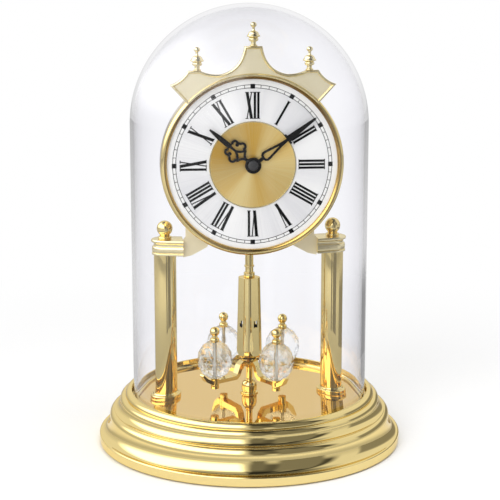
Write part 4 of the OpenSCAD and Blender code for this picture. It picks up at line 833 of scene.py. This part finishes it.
# %% Urns
URN = 11.6
urn_shares = (
    [(0, 0), (0.164, 0), (0.164, 0.05), (0.11, 0.08), (0.11, 0.19)]
    + arc((0.11, 0.29), 0.1, 0.09, -90, 60, 14)
    + [(0.275, 0.4), (0.295, 0.425), (0.275, 0.45)]
    + arc((0.06, 0.48), 0.17, 0.16, 10, 80, 10)
    + [(0.06, 0.7), (0.06, 0.79)]
    + arc((0, 0.89), 0.135, 0.11, -60, 90, 14)
)
urn_outline = eased([(r * URN, z * URN) for r, z in urn_shares], 0.15)
urn_y = (PEDIMENT_FRONT + PEDIMENT_BACK) / 2
SIDE_URN_X, SIDE_URN_RISE, TOP_URN_RISE = 28, 47.8, 59.7
urn_places = [(-SIDE_URN_X, urn_y, DIAL + SIDE_URN_RISE), (0, urn_y, DIAL + TOP_URN_RISE),
              (SIDE_URN_X, urn_y, DIAL + SIDE_URN_RISE)]
turned("Pediment_urns", urn_outline, pale_gilt, "base", ["pediment_urns"], places=urn_places, turns=64)

# %% [markdown]
# ## Pendulum rod, guide cup, knobs and stubs
#
# The pendulum hangs from the drive by its rod, with a thin ring and a collar above the tower. Under it a
# turned cup on the deck keeps its guide pin from swinging out. Knobs and stub nuts hold the crystals on their
# pins.

# %% Rod
ROD_R = 2.15
rod_outline = [
    (0, 87.8), (2.9, 87.8), (2.9, 90.2), (ROD_R, 90.2), (ROD_R, 93.2), (2.6, 93.2), (2.6, 94.1),
    (ROD_R, 94.1), (ROD_R, 112.0), (1.0, 112.0), (1.0, 109.5), (0, 109.5)]
turned("Pendulum_rod", eased(rod_outline, 0.2), lacquered_brass, "pendulum", ["pendulum_rod"], turns=72)

# %% Guide cup
cup_outline = (
    [(1.4, 0.0), (0, 0.0), (0, -0.8), (2.6, -0.8), (2.6, 0.02), (4.7, 0.02), (4.7, 0.7), (3.55, 1.0),
     (3.95, 1.6), (4.05, 2.4)]
    + arc((2.2, 3.7), 1.85, 3.1, 0, 80, 14)
    + [(2.1, 6.9), (2.3, 7.3), (2.2, 7.6), (1.4, 7.6)]
)
turned("Guide_cup", [(r, DECK + z) for r, z in eased(cup_outline, 0.12)], lacquered_brass, "base",
       ["guide_cup"], turns=96)

# %% [markdown]
# ## The pendulum's tower
#
# The tower is a hollow square spire of cast brass with rounded corners, one of which faces the viewer, and a
# small window in each side. It is built as two shells of rings. The faces of the windows are left out, and
# narrow faces join the two shells round each opening.

# %% Rings of the tower
TOWER_LOW, TOWER_HIGH = 48.5, 87.8
LOW_HALF, HIGH_HALF = 5.762, 4.902
TOWER_WALL, TOWER_CAP = 0.8, 1.2
CORNER_SHARE = 0.608
WINDOW_LOW, WINDOW_HIGH, WINDOW_HALF = 61.05, 64.75, 1.2
CORNER_STEPS = 8
SIDE_POINTS = CORNER_STEPS + 3


def tower_ring(work, height, shrink):
    """One closed ring of the rounded square, with a point at each side of a window."""
    share = (height - TOWER_LOW) / (TOWER_HIGH - TOWER_LOW)
    outer_half = LOW_HALF + (HIGH_HALF - LOW_HALF) * share
    half = outer_half - shrink
    corner_r = max(0.5, CORNER_SHARE * outer_half - shrink)
    ring = []
    for side in range(4):
        turn = math.radians(PENDULUM_TURN + 90 * side)
        flat = [(half, -WINDOW_HALF), (half, WINDOW_HALF)]
        bend = arc((half - corner_r, half - corner_r), corner_r, corner_r, 0, 90, CORNER_STEPS)
        for x, y in flat + bend:
            ring.append(work.verts.new((x * math.cos(turn) - y * math.sin(turn),
                                        x * math.sin(turn) + y * math.cos(turn), height)))
    return ring


print("each ring of the tower has", 4 * SIDE_POINTS, "points")

# %% Tower
SOFT_TOP = 0.15
work = bmesh.new()
heights = [TOWER_LOW, WINDOW_LOW, WINDOW_HIGH, TOWER_HIGH - TOWER_CAP, TOWER_HIGH - SOFT_TOP]
outer, inner = [[tower_ring(work, z, wall) for z in heights] for wall in (0.0, TOWER_WALL)]
crown = tower_ring(work, TOWER_HIGH, SOFT_TOP)
round_count = len(crown)
for shell, last in ((outer, 4), (inner, 3)):
    for level in range(last):
        for i in range(round_count):
            if level == 1 and i % SIDE_POINTS == 0:
                continue
            k = (i + 1) % round_count
            work.faces.new([shell[level][i], shell[level][k], shell[level + 1][k], shell[level + 1][i]])
for i in range(round_count):
    k = (i + 1) % round_count
    work.faces.new([outer[4][i], outer[4][k], crown[k], crown[i]])
    work.faces.new([outer[0][i], outer[0][k], inner[0][k], inner[0][i]])
for i in range(0, round_count, SIDE_POINTS):
    corners = [(1, i), (1, i + 1), (2, i + 1), (2, i)]
    for (a, b), (c, d) in zip(corners, corners[1:] + corners[:1]):
        work.faces.new([outer[a][b], outer[c][d], inner[c][d], inner[a][b]])
work.faces.new(crown)
work.faces.new(inner[3])
bmesh.ops.delete(work, geom=inner[4], context="VERTS")
finish_mesh("Tower", work, [lacquered_brass], "pendulum", ["tower"])

# %% Knobs
pin_places = []
for i in range(4):
    a = math.radians(PENDULUM_TURN + 90 * i)
    pin_places.append((ARM_REACH * math.cos(a), ARM_REACH * math.sin(a), 0))
CRYSTAL_TOP = 56.2
KNOB_R = 2.55
knob_outline = (
    [(0, CRYSTAL_TOP), (2.3, CRYSTAL_TOP)]
    + arc((1.9, CRYSTAL_TOP + 1.0), 0.5, 1.0, -60, 90, 8)
    + [(1.5, CRYSTAL_TOP + 2.3), (1.4, CRYSTAL_TOP + 3.0)]
    + arc((0, CRYSTAL_TOP + 5.4), KNOB_R, KNOB_R, -56, 90, 20)
)
turned("Crystal_knobs", knob_outline, lacquered_brass, "pendulum", ["crystal_knobs"], places=pin_places,
       turns=48)

# %% Stub nuts
STUB_R, STUB_BORE = 2.15, 0.9
work = bmesh.new()
for place in pin_places:
    for low, high in ((30.9, 33.0), (35.6, 37.0)):
        stub = eased([(STUB_BORE, low), (STUB_R, low), (STUB_R, high), (STUB_BORE, high)], 0.15)
        spin(work, stub, place, turns=48)
finish_mesh("Crystal_stubs", work, [lacquered_brass], "pendulum", ["crystal_stubs"])

# %% [markdown]
# ## Floor
#
# A pale, plain sheet of paper carries the clock. Close to the clock it is matt white and takes the shadow.
# Further out it turns into the white of the room, so no edge shows behind the object. Upright brass mirrors
# this paper, and all-white paper would leave the metal without any shape, so mirror images see it shaded:
# white beside the foot, greyer further out.

# %% Paper and its shade in mirror images
floor_finish, tree, out = new_finish("Paper_sweep_white")
spot = add(tree, "TexCoord").outputs["Object"]
fibre = add(tree, "TexNoise", {"Vector": spot, "Scale": 1 / (2 * MM), "Detail": 3.0})
tone = add(tree, "ValToRGB", {"Fac": fibre.outputs["Fac"]})
tone.color_ramp.elements[0].color = linear("#f6f6f6")
tone.color_ramp.elements[1].color = linear("#fbfbfb")
away = add(tree, "VectorMath", {0: spot}, operation="LENGTH")


def grey(level):
    """A grey of a given linear level."""
    return (level, level, level, 1.0)


def set_stops(ramp, stops):
    """Gives a ramp its stops, each a place from 0 to 1 and a grey level; the first is at 0, the last at 1."""
    ramp.elements[0].position, ramp.elements[0].color = 0.0, grey(stops[0][1])
    ramp.elements[1].position, ramp.elements[1].color = 1.0, grey(stops[-1][1])
    for place, level in stops[1:-1]:
        ramp.elements.new(place).color = grey(level)


# Metres from the axis of the clock, and how much of the paper's white a mirror image shows there
shades = [(0.0, 0.95), (0.1, 0.95), (0.125, 0.6), (0.16, 0.52), (0.3, 0.62), (0.45, 0.75), (1.0, 0.75)]
shade = add(tree, "ValToRGB", {"Fac": away.outputs["Value"]})
set_stops(shade.color_ramp, shades)
path = add(tree, "LightPath")
image = add(tree, "Math", {0: path.outputs["Is Glossy Ray"], 1: path.outputs["Is Transmission Ray"]},
            operation="SUBTRACT", use_clamp=True)
shown = add(tree, "Mix", {"Factor": image.outputs[0], "A": tone.outputs["Color"],
                          "B": shade.outputs["Color"]}, data_type="RGBA")
paper = add(tree, "BsdfDiffuse", {"Color": shown.outputs[2]})
print("shade with", len(shades), "stops")

# %% White of the room, and the sheet
fade = add(tree, "MapRange", {"Value": away.outputs["Value"], "From Min": 0.13, "From Max": 0.42},
           interpolation_type="SMOOTHSTEP")
seen = add(tree, "Math", {0: path.outputs["Is Camera Ray"], 1: path.outputs["Is Transmission Ray"]},
           operation="MAXIMUM")
share = add(tree, "Math", {0: fade.outputs["Result"], 1: seen.outputs[0]}, operation="MULTIPLY")
glow = add(tree, "Emission", {"Color": linear("#ffffff"), "Strength": 1.0})
mix = add(tree, "MixShader", {"Fac": share.outputs[0], 1: paper.outputs["BSDF"], 2: glow.outputs["Emission"]})
tree.links.new(mix.outputs["Shader"], out.inputs["Surface"])
FLOOR_HALF = 3
sheet = bpy.data.meshes.new("Floor")
sheet.from_pydata([(-FLOOR_HALF, -FLOOR_HALF, 0), (FLOOR_HALF, -FLOOR_HALF, 0), (FLOOR_HALF, FLOOR_HALF, 0),
                   (-FLOOR_HALF, FLOOR_HALF, 0)], [], [(0, 1, 2, 3)])
sheet.materials.append(floor_finish)
floor = bpy.data.objects.new("Floor", sheet)
bpy.context.scene.collection.objects.link(floor)
print("floor", 2 * FLOOR_HALF, "m wide")

# %% [markdown]
# ## The room
#
# A mirror finish is only as good as what it mirrors. Eye and glass see a white room. Metal sees a studio: a
# white wall behind the clock, a large bright screen front left, a dark front right with a narrower screen in
# it, a plain grey strip along the horizon and a dim ceiling. Matt surfaces get an even, plain light.

# %% Walls of the studio
world = bpy.data.worlds.new("Studio")
bpy.context.scene.world = world
world.use_nodes = True
tree = world.node_tree
tree.nodes.clear()
direction = add(tree, "SeparateXYZ", {"Vector": add(tree, "TexCoord").outputs["Generated"]})
forward = add(tree, "Math", {0: direction.outputs["Y"], 1: -1.0}, operation="MULTIPLY")
angle = add(tree, "Math", {0: direction.outputs["X"], 1: forward.outputs[0]}, operation="ARCTAN2")
share = add(tree, "MapRange", {"Value": angle.outputs[0], "From Min": -math.pi, "From Max": math.pi})
walls = add(tree, "ValToRGB", {"Fac": share.outputs["Result"]})
# Degrees round from the camera's side, towards the right, and how bright the wall is there
BRIGHTEST = 3.0
screens = [(-180, 0.95), (-135, 0.95), (-118, 3.0), (-15, 3.0), (-9, 0.9), (-2, 0.16), (24, 0.1), (31, 0.7),
           (40, 0.6), (47, 0.1), (62, 0.08), (72, 0.9), (100, 0.9), (130, 0.95), (180, 0.95)]
set_stops(walls.color_ramp, [((degrees + 180) / 360, light / BRIGHTEST) for degrees, light in screens])
print("studio with", len(screens), "stops round the walls")

# %% Horizon and ceiling
HORIZON, CEILING = 0.75, 0.5
height = direction.outputs["Z"]
lift = add(tree, "MapRange", {"Value": height, "From Min": 0.0, "From Max": 0.3},
           interpolation_type="SMOOTHSTEP")
around = add(tree, "Mix", {"Factor": lift.outputs["Result"], "A": grey(HORIZON / BRIGHTEST),
                           "B": walls.outputs["Color"]}, data_type="RGBA")
rise = add(tree, "MapRange", {"Value": height, "From Min": 0.75, "From Max": 0.95, "To Min": BRIGHTEST,
                              "To Max": CEILING}, interpolation_type="SMOOTHSTEP")
studio = add(tree, "Background", {"Color": around.outputs[2], "Strength": rise.outputs["Result"]})
print("horizon at", HORIZON, "and ceiling at", CEILING, "of the walls' white")

# %% What each ray sees of the room
even = add(tree, "Background", {"Color": linear("#ffffff"), "Strength": 0.62})
white = add(tree, "Background", {"Color": linear("#ffffff"), "Strength": 1.0})
path = add(tree, "LightPath")
seen = add(tree, "Math", {0: path.outputs["Is Camera Ray"], 1: path.outputs["Is Transmission Ray"]},
           operation="MAXIMUM")
metal = add(tree, "MixShader", {"Fac": path.outputs["Is Glossy Ray"], 1: even.outputs["Background"],
                                2: studio.outputs["Background"]})
whole = add(tree, "MixShader", {"Fac": seen.outputs[0], 1: metal.outputs["Shader"],
                                2: white.outputs["Background"]})
tree.links.new(whole.outputs["Shader"], add(tree, "OutputWorld").inputs["Surface"])
print("eye and glass see white, metal sees the studio")

# %% [markdown]
# ## Cards round the clock
#
# Brass mouldings mirror what stands on the table beside them. A photographer of metal sets grey cards there,
# so that the metal gets darker bands. A card with a sharp edge would show as a hard rectangle, so each one
# fades out over a few degrees at its sides and over its upper third. The cards are seen by mirror rays alone:
# they cast no shadow and never show in a picture.

# %% Cards


SOFT_EDGE = math.radians(6)
SOLID_HEIGHT = 0.65


def card(name, start, end, distance, height, light):
    """A card with soft edges, between two angles round from the dial's side, with its sizes in metres."""
    first, last = math.radians(start), math.radians(end)
    spots = [first + (last - first) * i / 8 for i in range(9)]
    low = [(distance * math.sin(a), -distance * math.cos(a), 0.001) for a in spots]
    mesh = bpy.data.meshes.new(name)
    mesh.from_pydata(low + [(x, y, height) for x, y, z in low], [],
                     [(i, i + 1, i + 10, i + 9) for i in range(8)])
    finish, tree, out = new_finish(name + "_board")
    place = add(tree, "SeparateXYZ", {"Vector": add(tree, "TexCoord").outputs["Object"]})
    forward = add(tree, "Math", {0: place.outputs["Y"], 1: -1.0}, operation="MULTIPLY")
    angle = add(tree, "Math", {0: place.outputs["X"], 1: forward.outputs[0]}, operation="ARCTAN2").outputs[0]
    cover = 1.0
    for value, edge, inside in ((angle, first, first + SOFT_EDGE), (angle, last, last - SOFT_EDGE),
                                (place.outputs["Z"], height, SOLID_HEIGHT * height)):
        ease = add(tree, "MapRange", {"Value": value, "From Min": edge, "From Max": inside},
                   interpolation_type="SMOOTHSTEP")
        cover = add(tree, "Math", {0: ease.outputs["Result"], 1: cover}, operation="MULTIPLY").outputs[0]
    glow = add(tree, "Emission", {"Color": linear("#ffffff"), "Strength": light})
    clear = add(tree, "BsdfTransparent")
    mix = add(tree, "MixShader", {"Fac": cover, 1: clear.outputs["BSDF"], 2: glow.outputs["Emission"]})
    tree.links.new(mix.outputs["Shader"], out.inputs["Surface"])
    mesh.materials.append(finish)
    made = bpy.data.objects.new(name, mesh)
    made.visible_camera = made.visible_diffuse = made.visible_transmission = made.visible_shadow = False
    bpy.context.scene.collection.objects.link(made)


card("Card_front", -8, 8, distance=0.21, height=0.2, light=0.2)
card("Card_right_front", 10, 48, distance=0.22, height=0.28, light=0.25)
card("Card_right", 72, 140, distance=0.2, height=0.08, light=0.3)
print("3 cards")

# %% [markdown]
# ## Lamps
#
# Two large soft lamps, one front left and one from above, shape the matt pieces and give a soft shadow. They
# are hidden from mirror rays, since the studio walls already hold what the metal should show.

# %% Lamps


def lamp(name, place, width, power):
    """A square soft lamp aimed at the middle of the clock."""
    data = bpy.data.lights.new(name, "AREA")
    data.size = width
    data.energy = power
    made = bpy.data.objects.new(name, data)
    made.location = place
    made.rotation_mode = "QUATERNION"
    made.rotation_quaternion = (Vector((0, 0, 0.12)) - made.location).to_track_quat("-Z", "Y")
    made.visible_glossy = False
    made.visible_camera = False
    made.visible_transmission = False
    bpy.context.scene.collection.objects.link(made)


lamp("Screen_lamp", (-0.7, -0.9, 0.8), width=0.7, power=7.0)
lamp("Top_lamp", (0.25, -0.1, 1.1), width=0.8, power=5.0)
print("2 lamps")

# %% [markdown]
# ## Camera
#
# The photograph was taken from a little above the dial and a little from the left, with a long lens. The
# camera looks down on the middle of the clock from 763 mm, without any shift.

# %% Camera
AIM = Vector((0.0004, 0, 0.10195))
azimuth, elevation, distance = math.radians(-6.008), math.radians(11.343), 0.7628
back = Vector((math.sin(azimuth) * math.cos(elevation), -math.cos(azimuth) * math.cos(elevation),
               math.sin(elevation)))
lens = bpy.data.cameras.new("Camera")
lens.lens = 104.6
lens.sensor_width = 36
lens.clip_start = 0.01
camera = bpy.data.objects.new("Camera", lens)
camera.location = AIM + back * distance
camera.rotation_mode = "QUATERNION"
camera.rotation_quaternion = (-back).to_track_quat("-Z", "Y")
bpy.context.scene.collection.objects.link(camera)
bpy.context.scene.camera = camera
bpy.context.scene.view_settings.view_transform = "Standard"
print("camera at", [round(v, 4) for v in camera.location])
